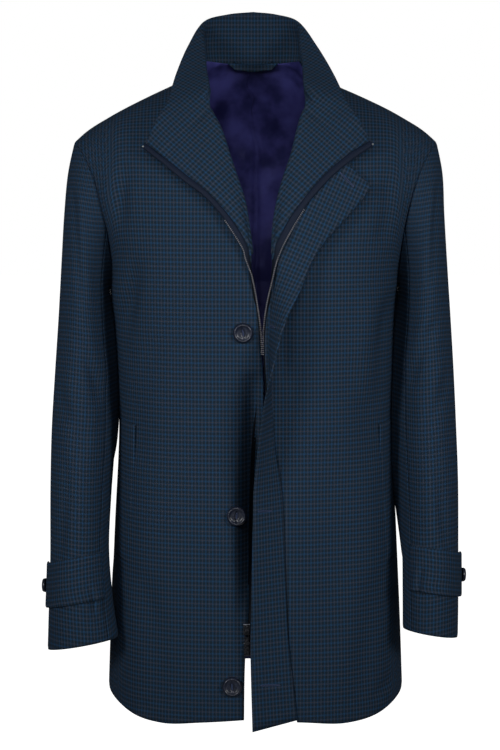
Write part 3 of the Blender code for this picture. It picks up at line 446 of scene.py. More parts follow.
def check_cloth():
    """Colour: the average of the upright and the level yarns' bars, times the tone of the yarn."""
    made, shader, wire = finish("check_cloth", Roughness=CLOTH_ROUGH, Specular_IOR_Level=CLOTH_SHINE)
    place = wire.add("ShaderNodeUVMap", {"uv_map": "cloth"})
    across, along = place.split()
    upright, upright_line = bars(across, CHECK_ACROSS)
    level, level_line = bars(along, CHECK_ALONG)
    warp = upright.tint(GROUND, upright_line.tint(BLUE_BAR, BROWN_LINE))
    weft = level.tint(GROUND, level_line.tint(BLUE_BAR, BROWN_LINE))
    colour = wire.add("ShaderNodeMix", {"data_type": "RGBA"}, {0: WEFT_SHARE, 6: warp, 7: weft}, out=2)
    yarn = place.add("ShaderNodeTexNoise", {"noise_dimensions": "2D"},
                     {"Vector": place, "Scale": YARN_SCALE})
    light = yarn.between(*YARN_RANGE) * YARN_TONE[1] + YARN_TONE[0]
    shade = light.add("ShaderNodeVectorMath", {"operation": "SCALE"}, {0: colour, "Scale": light})
    twill = ((across + along) * (2 * math.pi / TWILL_PITCH)).maths("SINE")
    bump = twill.add("ShaderNodeBump", {}, {"Strength": TWILL_BUMP, "Distance": TWILL_DEPTH,
                                            "Height": twill * 0.5 + yarn})
    plug(shader, Base_Color=shade, Normal=bump)
    return made


# %% [markdown]
# ## Satin, tape, resin, metal and thread
# The other finishes are simpler. Satin is smooth and shines softly. Its slow changes of tone are partly its
# own and partly painted shade in soft patches, and it is painted darker low down as shade. The tape has
# fine ribs both ways and is painted darker low down as shade under the flap. The buttons are polished resin
# with a cloudy depth, and the zip is metal, bright or darkened, with worn patches. Tones are a dark and a
# light colour, and a pair for roughness is its least and its range.

# %% Other finishes
NOISE_RANGE = (0.3, 0.7)
FINE_BUMP = 0.0002
# Satin tones: the dark one stands partly for the satin's own tone and partly for painted shade in soft
# patches.
SATIN_TONES = (0.0150, 0.0158, 0.072, 1), (0.0560, 0.0570, 0.225, 1)
# Painted shade: the satin's colour low down inside the coat, and the heights over which it comes in.
SATIN_PAINTED_SHADE = (0.0160, 0.0170, 0.075, 1)
SATIN_SHADE_Z = (-0.27, -0.15)
SATIN_SHINE = 0.22
SATIN_TINT = (0.40, 0.42, 1.0, 1)
SATIN_ROUGH = (0.34, 0.14)
SATIN_BUMP = 0.08
SATIN_SCALES = (26.0, 700.0)
RIB_TURNS = 5200.0
WALE_TURNS = 3600.0
TAPE_TONES = (0.0042, 0.0080, 0.018, 1), (0.0090, 0.0140, 0.030, 1)
# Painted shade: the tape's colour low down where the flap shades it, and the heights over which it comes
# in.
TAPE_PAINTED_SHADE = (0.0024, 0.0036, 0.0062, 1)
TAPE_SHADE_Z = (-0.24, -0.17)
TAPE_SHINE = 0.08
TAPE_BUMP = 0.3
TAPE_ROUGH = (0.55, 0.1)
RESIN_TONES = (0.005, 0.008, 0.017, 1), (0.012, 0.016, 0.032, 1)
RESIN_SHINE = 0.4
RESIN_COAT_ROUGH = 0.2
RESIN_ROUGH = (0.30, 0.12)
RESIN_COAT = (0.1, 0.2)
RESIN_SCALE = 160.0
METAL_TONES = (0.36, 0.37, 0.39, 1), (0.56, 0.57, 0.58, 1)
DARK_METAL_TONES = (0.030, 0.033, 0.040, 1), (0.085, 0.090, 0.105, 1)
METAL_ROUGH = (0.2, 0.25)
METAL_RANGE = (0.35, 0.65)
METAL_SCALE = 420.0
BLUE_TONES = (0.014, 0.024, 0.060, 1), (0.028, 0.044, 0.105, 1)
COIL_TONES = (0.090, 0.092, 0.110, 1), (0.220, 0.222, 0.245, 1)
THREAD_SHINE = 0.3
THREAD_ROUGH = (0.5, 0.2)
THREAD_SCALE = 1500.0


def lining_satin():
    """Slow noise sets the tone, partly painted shade, and the shine; fine noise the weave; height paints
    shade low down.
    """
    made, shader, wire = finish("lining_satin", Specular_IOR_Level=SATIN_SHINE, Specular_Tint=SATIN_TINT)
    place = wire.add("ShaderNodeTexCoord", out=3)
    slow = place.add("ShaderNodeTexNoise", {}, {"Vector": place, "Scale": SATIN_SCALES[0], "Detail": 3.0})
    fine = place.add("ShaderNodeTexNoise", {}, {"Vector": place, "Scale": SATIN_SCALES[1]})
    height = wire.add("ShaderNodeSeparateXYZ", sockets={0: place}, out=2)
    # Slow noise tints the satin between its two tones: partly its own tone, partly painted shade in soft
    # patches.
    slow_tone_and_shade = slow.between(*NOISE_RANGE).tint(*SATIN_TONES)
    # Low down the satin is painted darker, as shade deep inside the coat.
    colour = height.between(*SATIN_SHADE_Z).tint(SATIN_PAINTED_SHADE, slow_tone_and_shade)
    bump = fine.add("ShaderNodeBump", {}, {"Strength": SATIN_BUMP, "Distance": FINE_BUMP, "Height": fine})
    plug(shader, Base_Color=colour, Roughness=slow * SATIN_ROUGH[1] + SATIN_ROUGH[0], Normal=bump)
    return made


def woven_tape():
    """A sine along and a sine across make the ribs, and height paints shade on the tape low down, under the
    flap.
    """
    made, shader, wire = finish("woven_tape", Specular_IOR_Level=TAPE_SHINE)
    place = wire.add("ShaderNodeUVMap", {"uv_map": "cloth"})
    across, along = place.split()
    rib = ((along * RIB_TURNS).maths("SINE") + (across * WALE_TURNS).maths("SINE")) / 4 + 0.5
    height = wire.add("ShaderNodeSeparateXYZ", sockets={0: wire.add("ShaderNodeTexCoord", out=3)}, out=2)
    # Low down the tape is painted near black, as the flap's shadow on it.
    colour = height.between(*TAPE_SHADE_Z).tint(TAPE_PAINTED_SHADE, rib.tint(*TAPE_TONES))
    bump = rib.add("ShaderNodeBump", {}, {"Strength": TAPE_BUMP, "Distance": FINE_BUMP, "Height": rib})
    plug(shader, Base_Color=colour, Roughness=rib * TAPE_ROUGH[1] + TAPE_ROUGH[0], Normal=bump)
    return made


def button_resin():
    """One noise clouds the colour, the roughness and the polish together."""
    made, shader, wire = finish("button_resin", Specular_IOR_Level=RESIN_SHINE,
                                Coat_Roughness=RESIN_COAT_ROUGH)
    place = wire.add("ShaderNodeTexCoord", out=3)
    cloud = place.add("ShaderNodeTexNoise", {}, {"Vector": place, "Scale": RESIN_SCALE, "Detail": 4.0})
    plug(shader, Base_Color=cloud.between(*NOISE_RANGE).tint(*RESIN_TONES),
         Roughness=cloud * RESIN_ROUGH[1] + RESIN_ROUGH[0],
         Coat_Weight=cloud * RESIN_COAT[1] + RESIN_COAT[0])
    return made


def zip_metal(name, dull, bright):
    """Noise wears the metal from dull to bright."""
    made, shader, wire = finish(name, Metallic=1.0)
    place = wire.add("ShaderNodeTexCoord", out=3)
    worn = place.add("ShaderNodeTexNoise", {}, {"Vector": place, "Scale": METAL_SCALE, "Detail": 3.0})
    plug(shader, Base_Color=worn.between(*METAL_RANGE).tint(dull, bright),
         Roughness=worn * METAL_ROUGH[1] + METAL_ROUGH[0])
    return made


def thread(name, dark, light):
    """Fine noise for the twist of a thread."""
    made, shader, wire = finish(name, Specular_IOR_Level=THREAD_SHINE)
    place = wire.add("ShaderNodeTexCoord", out=3)
    twist = place.add("ShaderNodeTexNoise", {}, {"Vector": place, "Scale": THREAD_SCALE})
    plug(shader, Base_Color=twist.between(*NOISE_RANGE).tint(dark, light),
         Roughness=twist * THREAD_ROUGH[1] + THREAD_ROUGH[0])
    return made


CLOTH, SATIN, TAPE, RESIN = check_cloth(), lining_satin(), woven_tape(), button_resin()
METAL = zip_metal("zip_metal", *METAL_TONES)
DARK_METAL = zip_metal("zip_dark_metal", *DARK_METAL_TONES)
BLUE_THREAD = thread("blue_thread", *BLUE_TONES)
COIL = thread("zip_coil", *COIL_TONES)
print("finishes:", [m.name for m in bpy.data.materials if m.users == 0])

# %% [markdown]
# ## Making a piece of cloth
# A cut piece of cloth is a grid of points with a thickness. thicken() gives it two faces, closer together
# at the cut edges, so that an edge looks turned and two pieces meet in a groove as a seam does. piece()
# builds the closed mesh, gives it the UV map in metres and says what cloth it is.

# %% Thicken and build
EDGE_SHARE = 0.45


def thicken(face, facing, thickness, middle=False, kept=False):
    """Outer and inner grids half a thickness either side of the cloth's middle, pinched at the edges.

    Points marked in kept hold their full thickness, for an edge that carries on in the next piece.
    """
    share = np.ones(face.shape[:2])
    share[[0, -1]] = EDGE_SHARE
    share[:, [0, -1]] = EDGE_SHARE
    half = facing * (thickness / 2 * np.where(kept, 1, share))[..., None]
    centre = face if middle else face - facing * thickness / 2
    return centre + half, centre - half


def lengths(grid, axis):
    """Distance run along one direction of a grid, from its first row or column."""
    step = np.linalg.norm(np.diff(grid, axis=axis), axis=-1)
    return np.insert(np.cumsum(step, axis=axis), 0, 0, axis=axis)


def cloth_map(grid):
    """UV in metres: distance along each row, and distance along each column."""
    return np.stack([lengths(grid, 1), lengths(grid, 0)], axis=-1)


def angle(first, second):
    """Angle between two arrays of vectors: the arc cosine of the product of their directions."""
    return np.arccos(np.clip((unit(first) * unit(second)).sum(-1), -1, 1))


def unroll(first, second, hand):
    """Both edges of a curved strip laid flat without stretch, as complex numbers in metres.

    Each cell is cut into two triangles. The corner angles beside the first edge add up to its bends, and
    its steps add up to its places. hand says on which side of the first edge the strip lies.
    """
    across, step, diagonal = second - first, np.diff(first, axis=0), second[:-1] - first[1:]
    before = angle(across[:-1], step)
    after = angle(-step, diagonal) + angle(diagonal, across[1:])
    bearing = np.insert(np.cumsum(hand * (math.pi - before - after)), 0, 0)
    steps = np.linalg.norm(step, axis=-1) * np.exp(1j * (bearing[:-1] - hand * before))
    flat = np.insert(np.cumsum(steps), 0, 0)
    return flat, flat + np.linalg.norm(across, axis=-1) * np.exp(1j * bearing)


def as_uv(flat):
    """Complex places as UV pairs."""
    return np.stack([flat.real, flat.imag], axis=-1)


def add_mesh(name, points, faces, finishes, marks=None, uv=None, other=None):
    """An object at the origin from points and faces, shaded smooth, with optional UV and finish marks.

    other is a second UV map and the corners that use it, for cloth that is cut along a sharp fold.
    """
    mesh = bpy.data.meshes.new(name)
    mesh.from_pydata(points.tolist(), [], faces.tolist())
    for made in finishes:
        mesh.materials.append(made)
    if marks is not None:
        mesh.polygons.foreach_set("material_index", marks.astype(np.int32))
    if uv is not None:
        corner = np.empty(len(mesh.loops), np.int32)
        mesh.loops.foreach_get("vertex_index", corner)
        places = uv[corner] if other is None else np.where(other[1][:, None], other[0][corner], uv[corner])
        mesh.uv_layers.new(name="cloth").data.foreach_set("uv", places.astype(np.float32).ravel())
    mesh.shade_smooth()
    made = bpy.data.objects.new(name, mesh)
    bpy.context.scene.collection.objects.link(made)
    return made


def grid_faces(rows, columns):
    """Four corner numbers of each cell of a grid."""
    place = np.arange(rows * columns).reshape(rows, columns)
    cells = [place[:-1, :-1], place[:-1, 1:], place[1:, 1:], place[1:, :-1]]
    return np.stack(cells, axis=-1).reshape(-1, 4)


def wall(name, outer, inner, uv, finishes, other=None):
    """A closed wall: the outer grid, the inner grid turned round, and a rim that joins their edges."""
    rows, columns = outer.shape[:2]
    count = rows * columns
    place = np.arange(count).reshape(rows, columns)
    front = grid_faces(rows, columns)
    rim = np.concatenate([place[0, :-1], place[:-1, -1], place[-1, :0:-1], place[:0:-1, 0]])
    after = np.roll(rim, -1)
    sides = np.stack([after, rim, rim + count, after + count], axis=-1)
    faces = np.concatenate([front, front[:, ::-1] + count, sides])
    r, c = rows // 2, columns // 2
    a, b, d = outer[r, c], outer[r, c + 1], outer[r + 1, c]
    if np.dot(np.cross(b - a, d - a), a - inner[r, c]) < 0:
        faces = faces[:, ::-1]
    marks = np.repeat([0, len(finishes) - 1, 0], [len(front), len(front), len(sides)])
    points = np.concatenate([outer.reshape(-1, 3), inner.reshape(-1, 3)])
    uv = np.tile(uv.reshape(-1, 2), (2, 1))
    if other is not None:
        cells = np.concatenate([other[1].ravel(), other[1].ravel(), np.zeros(len(sides), bool)])
        other = np.tile(other[0].reshape(-1, 2), (2, 1)), np.repeat(cells, 4)
    return add_mesh(name, points, faces, finishes, marks, uv, other)


def piece(node, outer, inner, held="hung", finishes=None, slot="coat_cloth", uv=None, other=None):
    """The visible cloth for one CAD node, set on the coat in place of the CAD solid, which is hidden."""
    uv = cloth_map(outer) if uv is None else uv
    made = wall(f"{node}_cloth", outer, inner, uv, finishes or (CLOTH,), other)
    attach(made, "coat")
    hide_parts(node)
    sides = np.cross(outer[1:, 1:] - outer[:-1, :-1], outer[1:, :-1] - outer[:-1, 1:])
    return made


# %% [markdown]
# ## Creases
# Cloth that hangs from the shoulders shows a few long soft folds, and short ones where it is pulled. Each
# crease here is a line on the panel with a depth and a width. It is a trough with a lower ridge beside it,
# it fades at both ends and its depth wavers, because even creases look machined.

# %% Crease tool
RIDGE_SHARE = 0.5
RIDGE_OFF = 2.0
RIDGE_WIDE = 1.4
FADE_POWER = 0.7
WAVER = 0.3
WAVER_TURNS = np.array([7, 90, 40])


def troughs(x, z, creases):
    """Depth pressed in at x, z: a bell across each line, a ridge beside it, both fading to its ends."""
    total = np.zeros(np.broadcast(x, z).shape)
    for x0, z0, x1, z1, bow, depth, width in creases:
        along, up = x1 - x0, z1 - z0
        length = math.hypot(along, up)
        t = ((x - x0) * along + (z - z0) * up) / length**2
        fade = np.clip(4 * t * (1 - t), 0, 1) ** FADE_POWER
        off = ((x - x0) * up - (z - z0) * along) / length - bow * 4 * t * (1 - t)
        waver = 1 + WAVER * np.sin(WAVER_TURNS[0] * t + WAVER_TURNS[1] * x0 + WAVER_TURNS[2] * z1)
        ridge = RIDGE_SHARE * bell((off - RIDGE_OFF * width) / (RIDGE_WIDE * width))
        total += depth * waver * fade * (bell(off / width) - ridge)
    return total


# Lines on the fronts and the back, seen from the front: ends, bow, depth and width
FRONT_CREASES = {
    "right": [
        (-0.1577, -0.088, -0.1663, -0.176, 0.003, 0.0048, 0.009),
        (-0.143, -0.205, -0.163, -0.335, 0.004, 0.0060, 0.010),
        (-0.002, -0.655, 0.003, -0.345, 0.000, 0.0400, 0.013),
        (-0.120, -0.300, -0.150, -0.470, 0.010, 0.0030, 0.022),
        (-0.060, -0.420, -0.075, -0.700, 0.006, 0.0010, 0.026),
        (-0.140, -0.600, -0.120, -0.775, -0.006, 0.0030, 0.016),
        (-0.145, -0.765, -0.118, -0.785, 0.002, 0.0010, 0.006),
    ],
    "left": [
        (0.168, -0.100, 0.160, -0.190, -0.004, 0.0032, 0.010),
        (0.176, -0.245, 0.163, -0.395, 0.004, 0.0055, 0.012),
        (0.046, -0.235, 0.034, -0.360, 0.000, 0.0070, 0.010),
        (0.120, -0.330, 0.150, -0.480, -0.010, 0.0030, 0.022),
        (0.090, -0.430, 0.105, -0.720, -0.006, 0.0024, 0.026),
        (0.160, -0.600, 0.140, -0.770, 0.006, 0.0030, 0.016),
        (0.150, -0.765, 0.180, -0.740, 0.002, 0.0025, 0.006),
    ],
}
BACK_CREASES = [
    (-0.090, -0.060, -0.070, -0.260, 0.006, 0.0030, 0.016),
    (0.095, -0.070, 0.075, -0.250, -0.006, 0.0028, 0.016),
    (-0.060, -0.330, -0.085, -0.720, 0.010, 0.0035, 0.028),
    (0.050, -0.380, 0.080, -0.740, -0.008, 0.0035, 0.028),
    (0.010, -0.300, -0.005, -0.600, 0.006, 0.0020, 0.030),
    (-0.130, -0.260, -0.100, -0.420, 0.004, 0.0028, 0.014),
    (0.135, -0.260, 0.105, -0.430, -0.004, 0.0028, 0.014),
]

# %% [markdown]
# ## Back and fronts
# The two fronts and the back are cut to the hem, sewn at the sides and shoulders, and creased. Inside, the
# fronts are lined, so their inner faces take the satin. The check runs upright on all three: the UV map
# measures along the cloth from the middle of the body, and up and down from the chest line.

# %% Fronts and back
PROFILE_STEPS = 24


def upright_map(grid, depth_at):
    """UV in metres on a torso panel: run round the body from x = 0, and run up the panel from the chest."""
    flat = grid[..., :2]
    across = np.copysign(lengths(flat, 1), grid[0, -1, 0] - grid[0, 0, 0]) + grid[:, :1, 0]
    shares = np.linspace(0, 1, PROFILE_STEPS)[:, None, None]
    x, z = grid[None, ..., 0], CHEST_Z + (grid[None, ..., 2] - CHEST_Z) * np.sin(shares * math.pi / 2)
    along = np.hypot(np.diff(depth_at(x, z), axis=0), np.diff(z, axis=0)).sum(0)
    return np.stack([across, np.copysign(along, grid[..., 2] - CHEST_Z)], axis=-1)


def back_y(x, z):
    """Depth of the back's outer face at x and z, above and below the chest line."""
    x = 2 * x - widen(x)
    below = torso("back", z) * half_oval(x, torso("half", z), BACK_ROUND)
    rise = np.clip((z - CHEST_Z) / (shoulder_z(x) - CHEST_Z), 0, 1)
    return np.where(z < CHEST_Z, below, back_yoke_y(x, rise))


for name, grid in FRONTS.items():
    facing = normals(grid, (0, -1, 0))
    uv = upright_map(grid, front_y)
    creased = grid - facing * troughs(grid[..., 0], grid[..., 2], FRONT_CREASES[name])[..., None]
    piece(f"front_{name}", *thicken(creased, facing, COAT_CLOTH), finishes=(CLOTH, SATIN), uv=uv)

BACK_FACING = normals(BACK, (0, 1, 0))
CREASED_BACK = BACK - BACK_FACING * troughs(BACK[..., 0], BACK[..., 2], BACK_CREASES)[..., None]
walls = thicken(CREASED_BACK, BACK_FACING, COAT_CLOTH)
piece("back", *walls, finishes=(CLOTH, SATIN), uv=upright_map(BACK, back_y))

# %% [markdown]
# ## Sleeves
# A tailored sleeve is two pieces, a wide top and a narrow under sleeve, set into the armhole with a full
# cap. The surface is a stack of tilted rings. The first ring is the armhole itself, and the next few let
# go of it gradually. The two pieces are the same surface cut at the front seam and the hind seam.

# %% Sleeves
SLEEVE = table("outer_x outer_z inner_x inner_z mid_y depth left_outer left_inner", [
    (0.2300, -0.0635, 0.1800, -0.2470, 0.006, 0.080, 0.0065, 0.0065),
    (0.2385, -0.1050, 0.1835, -0.2530, 0.003, 0.083, 0.0055, 0.0065),
    (0.2433, -0.1564, 0.1860, -0.2640, 0.001, 0.083, 0.0030, 0.0060),
    (0.2470, -0.2171, 0.1845, -0.2920, -0.001, 0.081, 0.0030, 0.0060),
    (0.2511, -0.2854, 0.1815, -0.3320, -0.004, 0.079, 0.0035, 0.0060),
    (0.2558, -0.3564, 0.1790, -0.3860, -0.010, 0.077, 0.0030, 0.0060),
    (0.2597, -0.4328, 0.1785, -0.4470, -0.025, 0.073, 0.0020, 0.0070),
    (0.2604, -0.5081, 0.1825, -0.5146, -0.045, 0.066, 0.0030, 0.0060),
    (0.2598, -0.5957, 0.1845, -0.5800, -0.065, 0.057, 0.0030, 0.0065),
    (0.2611, -0.6581, 0.1791, -0.6426, -0.080, 0.051, 0.0010, 0.0120),
    (0.2622, -0.7060, 0.1715, -0.6900, -0.088, 0.048, -0.0010, 0.0195),
])
LEFT_SLEEVE = 0.975
RING_TILT = 0.6
RINGS = 112
CAP_SHARE = 5 / 14
FRONT_SEAM_TURN = 7 / 18
HIND_SEAM_TURN = -3 / 18
SLEEVE_ROUND = 0.42
SLEEVE_RUN = 0.62
FRONT_LINE_TURN = 0.20

# Lines on a sleeve unrolled flat: run round from the shoulder and run down, in metres
SLEEVE_CREASES = {
    "right": [
        (0.060, 0.060, 0.100, 0.200, 0.006, 0.0030, 0.012),
        (0.090, 0.250, 0.150, 0.330, 0.008, 0.0035, 0.014),
        (0.050, 0.330, 0.130, 0.380, -0.006, 0.0030, 0.013),
        (0.080, 0.400, 0.060, 0.500, 0.006, 0.0030, 0.014),
        (0.130, 0.535, 0.140, 0.575, 0.002, 0.0035, 0.005),
        (0.250, 0.180, 0.330, 0.260, 0.010, 0.0040, 0.016),
        (0.260, 0.300, 0.340, 0.350, 0.010, 0.0040, 0.016),
        (0.232, 0.080, 0.232, 0.390, 0.000, -0.0130, 0.030),
    ],
    "left": [
        (0.055, 0.050, 0.090, 0.190, 0.006, 0.0030, 0.012),
        (0.080, 0.240, 0.150, 0.310, 0.008, 0.0035, 0.014),
        (0.050, 0.310, 0.120, 0.370, -0.006, 0.0030, 0.013),
        (0.090, 0.390, 0.070, 0.500, 0.006, 0.0030, 0.014),
        (0.130, 0.520, 0.140, 0.560, 0.002, 0.0035, 0.005),
        (0.250, 0.190, 0.330, 0.270, 0.010, 0.0040, 0.016),
        (0.260, 0.310, 0.340, 0.360, 0.010, 0.0040, 0.016),
        (0.232, 0.030, 0.232, 0.515, 0.000, -0.0150, 0.030),
    ],
}


def armhole_loop(name):
    """Outer edge of one armhole: from the shoulder down the front, then up the back."""
    front = FRONTS[name][:BODY_ROWS - 1:-1, -1]
    back = BACK[BODY_ROWS:, 0 if name == "right" else -1]
    return np.concatenate([front, back[1:-1]])


def sleeve_rings(name):
    """Outer points and normals: ring points are inner + (outer - inner)(1 + cos a) / 2 and depth sin a."""
    loop = armhole_loop(name)
    rings = row_at(SLEEVE, np.linspace(0, len(SLEEVE["depth"]) - 1, RINGS + 1))
    around = np.arange(len(loop)) * 2 * math.pi / len(loop)
    if name == "left":
        for line in ("outer", "inner"):
            rings[f"{line}_x"] += rings[f"left_{line}"]
            heights = rings[f"{line}_z"]
            rings[f"{line}_z"] = heights[0] + (heights - heights[0]) * LEFT_SLEEVE
    lean = np.gradient(rings["mid_y"], (rings["outer_z"] + rings["inner_z"]) / 2)[:, None]
    rings = {key: values[:, None] for key, values in rings.items()}
    share = (1 + np.cos(around)) / 2
    forward = rings["depth"] * np.sin(around)
    z = rings["inner_z"] + (rings["outer_z"] - rings["inner_z"]) * share + RING_TILT * lean * forward
    x = rings["inner_x"] + (rings["outer_x"] - rings["inner_x"]) * share
    outer = stack(SIDES[name] * x, rings["mid_y"] - forward, z)
    fade = np.clip(1 - np.linspace(0, 1, RINGS + 1) / CAP_SHARE, 0, 1)[:, None, None] ** 2
    outer = outer + (loop - outer[0]) * fade
    return outer, ring_normals(outer)


def ring_normals(outer):
    """Normals of a closed tube of rings, turned away from its middle line."""
    around = np.roll(outer, -1, axis=1) - np.roll(outer, 1, axis=1)
    facing = unit(np.cross(np.gradient(outer, axis=0), around))
    out = outer - outer.mean(axis=1, keepdims=True)
    return facing * np.sign((facing * out).sum(-1).mean())


def sleeve_map(plain):
    """UV in metres: round the sleeve from its front line, and down it from the level of the shoulder."""
    front_line = round(FRONT_LINE_TURN * plain.shape[1])
    middle = np.roll(plain, -front_line, axis=1)
    half = plain.shape[1] // 2
    back = lengths(middle[:, :half:-1], 1) + np.linalg.norm(middle[:, -1:] - middle[:, :1], axis=-1)
    across = np.concatenate([lengths(middle[:, :half + 1], 1), -back[:, ::-1]], axis=1)
    down = lengths(plain, 0) - plain[:1, :, 2]
    return np.stack([np.roll(across, front_line, axis=1), -down], axis=-1)


SLEEVES = {}
for name in SIDES:
    plain, facing = sleeve_rings(name)
    turns = np.arange(plain.shape[1]) / plain.shape[1]
    down = np.linspace(0, SLEEVE_RUN, RINGS + 1)[:, None]
    outer = plain - facing * troughs(turns * SLEEVE_ROUND, down, SLEEVE_CREASES[name])[..., None]
    SLEEVES[name] = outer, ring_normals(outer), sleeve_map(plain)
    columns = outer.shape[1]
    front_seam, hind_seam = round(FRONT_SEAM_TURN * columns), round(HIND_SEAM_TURN * columns)
    cuts = {"top_sleeve": (hind_seam, front_seam), "under_sleeve": (front_seam, columns + hind_seam)}
    for node, (first, last) in cuts.items():
        grid, facing, uv = [whole[:, np.arange(first, last + 1) % columns] for whole in SLEEVES[name]]
        seams = np.zeros(grid.shape[:2], bool)
        seams[1:-1, [0, -1]] = True
        walls = thicken(grid, facing, COAT_CLOTH, kept=seams)
        piece(f"{node}_{name}", *walls, finishes=(CLOTH, SATIN), uv=uv)

# %% [markdown]
# ## Collar and lapels
# The collar is a tall stand, worn open, so its front ends and the tops of the fronts fold back as lapels.
# Each section of the collar goes straight up from the neck seam, bends sharply at the fold and falls to
# the free edge. The facing, the inner cloth of the front, shows on the lapel and turns in over the roll
# line. Collar and lapel are cut on one grain, so each is unrolled flat to give its check, and the collar's
# turned end is then laid against the lapel along the seam that they share.

# %% Zip line tables
ZIP = {"right": table("cloth_x cloth_z tape_x tape_z roll_z cloth_out tape_out", [
    (-0.1335, -0.0640, -0.1385, -0.0690, -0.010, 0.0140, 0.0140),
    (-0.1100, -0.0816, -0.1141, -0.0875, -0.022, 0.0115, 0.0115),
    (-0.0813, -0.1038, -0.0853, -0.1109, -0.055, 0.0105, 0.0105),
    (-0.0560, -0.1235, -0.0605, -0.1292, -0.088, 0.0105, 0.0105),
    (-0.0327, -0.1486, -0.0383, -0.1535, -0.122, 0.0095, 0.0100),
    (-0.0160, -0.1722, -0.0223, -0.1765, -0.152, 0.0080, 0.0100),
    (-0.0068, -0.1895, -0.0125, -0.1935, -0.176, 0.0045, 0.0085),
    (-0.0038, -0.1990, -0.0100, -0.2030, -0.186, 0.0025, 0.0075),
    (-0.0030, -0.2120, -0.0066, -0.2130, -0.200, -0.0010, 0.0065),
    (-0.0022, -0.2300, -0.0006, -0.2305, -0.220, -0.0010, 0.0050),
    (0.0004, -0.2680, 0.0060, -0.2680, -0.250, -0.0010, 0.0000),
    (0.0040, -0.3120, 0.0104, -0.3120, -0.300, -0.0010, -0.0010),
    (0.0016, -0.3850, 0.0089, -0.3850, -0.370, -0.0010, -0.0010),
    (-0.0035, -0.4440, 0.0038, -0.4440, -0.430, -0.0010, -0.0010),
    (-0.0066, -0.5700, 0.0007, -0.5700, -0.560, -0.0010, -0.0010),
    (-0.0091, -0.7020, -0.0018, -0.7020, -0.690, -0.0010, -0.0010),
]), "left": table("cloth_x cloth_z tape_x tape_z roll_z cloth_out tape_out", [
    (0.1455, -0.0608, 0.1505, -0.0664, -0.010, 0.0140, 0.0140),
    (0.1220, -0.0744, 0.1262, -0.0820, -0.022, 0.0115, 0.0115),
    (0.0945, -0.0962, 0.0998, -0.1030, -0.050, 0.0105, 0.0105),
    (0.0730, -0.1185, 0.0786, -0.1248, -0.085, 0.0105, 0.0105),
    (0.0593, -0.1356, 0.0649, -0.1416, -0.112, 0.0100, 0.0100),
    (0.0453, -0.1548, 0.0528, -0.1602, -0.143, 0.0090, 0.0100),
    (0.0335, -0.1755, 0.0416, -0.1800, -0.172, 0.0055, 0.0095),
    (0.0262, -0.1900, 0.0348, -0.1935, -0.186, 0.0040, 0.0085),
    (0.0236, -0.2080, 0.0290, -0.2090, -0.200, -0.0004, 0.0065),
    (0.0230, -0.2300, 0.0236, -0.2310, -0.220, -0.0010, 0.0060),
    (0.0211, -0.2680, 0.0156, -0.2680, -0.250, -0.0010, 0.0010),
    (0.0196, -0.3120, 0.0124, -0.3120, -0.300, -0.0010, -0.0010),
    (0.0231, -0.3850, 0.0158, -0.3850, -0.370, -0.0010, -0.0010),
    (0.0268, -0.4440, 0.0195, -0.4440, -0.430, -0.0010, -0.0010),
    (0.0396, -0.5700, 0.0323, -0.5700, -0.560, -0.0010, -0.0010),
    (0.0456, -0.7020, 0.0383, -0.7020, -0.690, -0.0010, -0.0010),
])}
LAPEL_END = 7.0
LAPEL_OVER = 0.03
LAPEL_BULGE = 0.003
LAPEL_ROWS = 60
LAPEL_COLUMNS = 28
ROLL_COLUMNS = 8
TURN_IN_COLUMNS = 8
TURN_IN = 0.035
ROLL_START = 0.35
ROLL_GROWS = 0.6


def lapel_points(name, roll_share, cloth_share):
    """Middle of a lapel's cloth: straight from roll line to sewn edge, lifted in a low arch between."""
    edge = row_at(ZIP[name], 1 + cloth_share)
    roll_x = smooth(FRONT_EDGE["z"], FRONT_EDGE[name], edge["roll_z"])
    x = roll_x + (edge["cloth_x"] - roll_x) * roll_share
    z = edge["roll_z"] + (edge["cloth_z"] - edge["roll_z"]) * roll_share
    start = FACING_CLOTH / 2 + SKIN_GAP
    lift = start + (edge["cloth_out"] - start) * roll_share + LAPEL_BULGE * np.sin(math.pi * roll_share)
    return stack(x, front_y(x, z) - lift, z)


def facing_grid(name):
    """The facing: the lapel, a half circle round the front's folded edge, and a strip inside the front."""
    down = np.linspace(-LAPEL_OVER, LAPEL_END, LAPEL_ROWS + 1)[:, None]
    lapel = lapel_points(name, np.linspace(0, 1, LAPEL_COLUMNS + 1)[None], down)
    edge = row_at(ZIP[name], 1 + down)
    z = edge["roll_z"]
    roll_x = smooth(FRONT_EDGE["z"], FRONT_EDGE[name], z)
    radius = (COAT_CLOTH + FACING_CLOTH) / 2 + SKIN_GAP
    radius = radius * (ROLL_START + (1 - ROLL_START) * ease(down / ROLL_GROWS))
    turn = np.linspace(math.pi, 0, ROLL_COLUMNS + 1)[None, :-1]
    middle_y = front_y(roll_x, z) + COAT_CLOTH / 2
    roll = stack(roll_x - SIDES[name] * radius * np.sin(turn), middle_y - radius * np.cos(turn), z)
    x = roll_x + SIDES[name] * np.linspace(TURN_IN, 0, TURN_IN_COLUMNS + 1)[None, :-1]
    inside = stack(x, front_y(x, z) + COAT_CLOTH + SKIN_GAP + FACING_CLOTH / 2, z)
    return np.concatenate([inside, roll, lapel], axis=1)


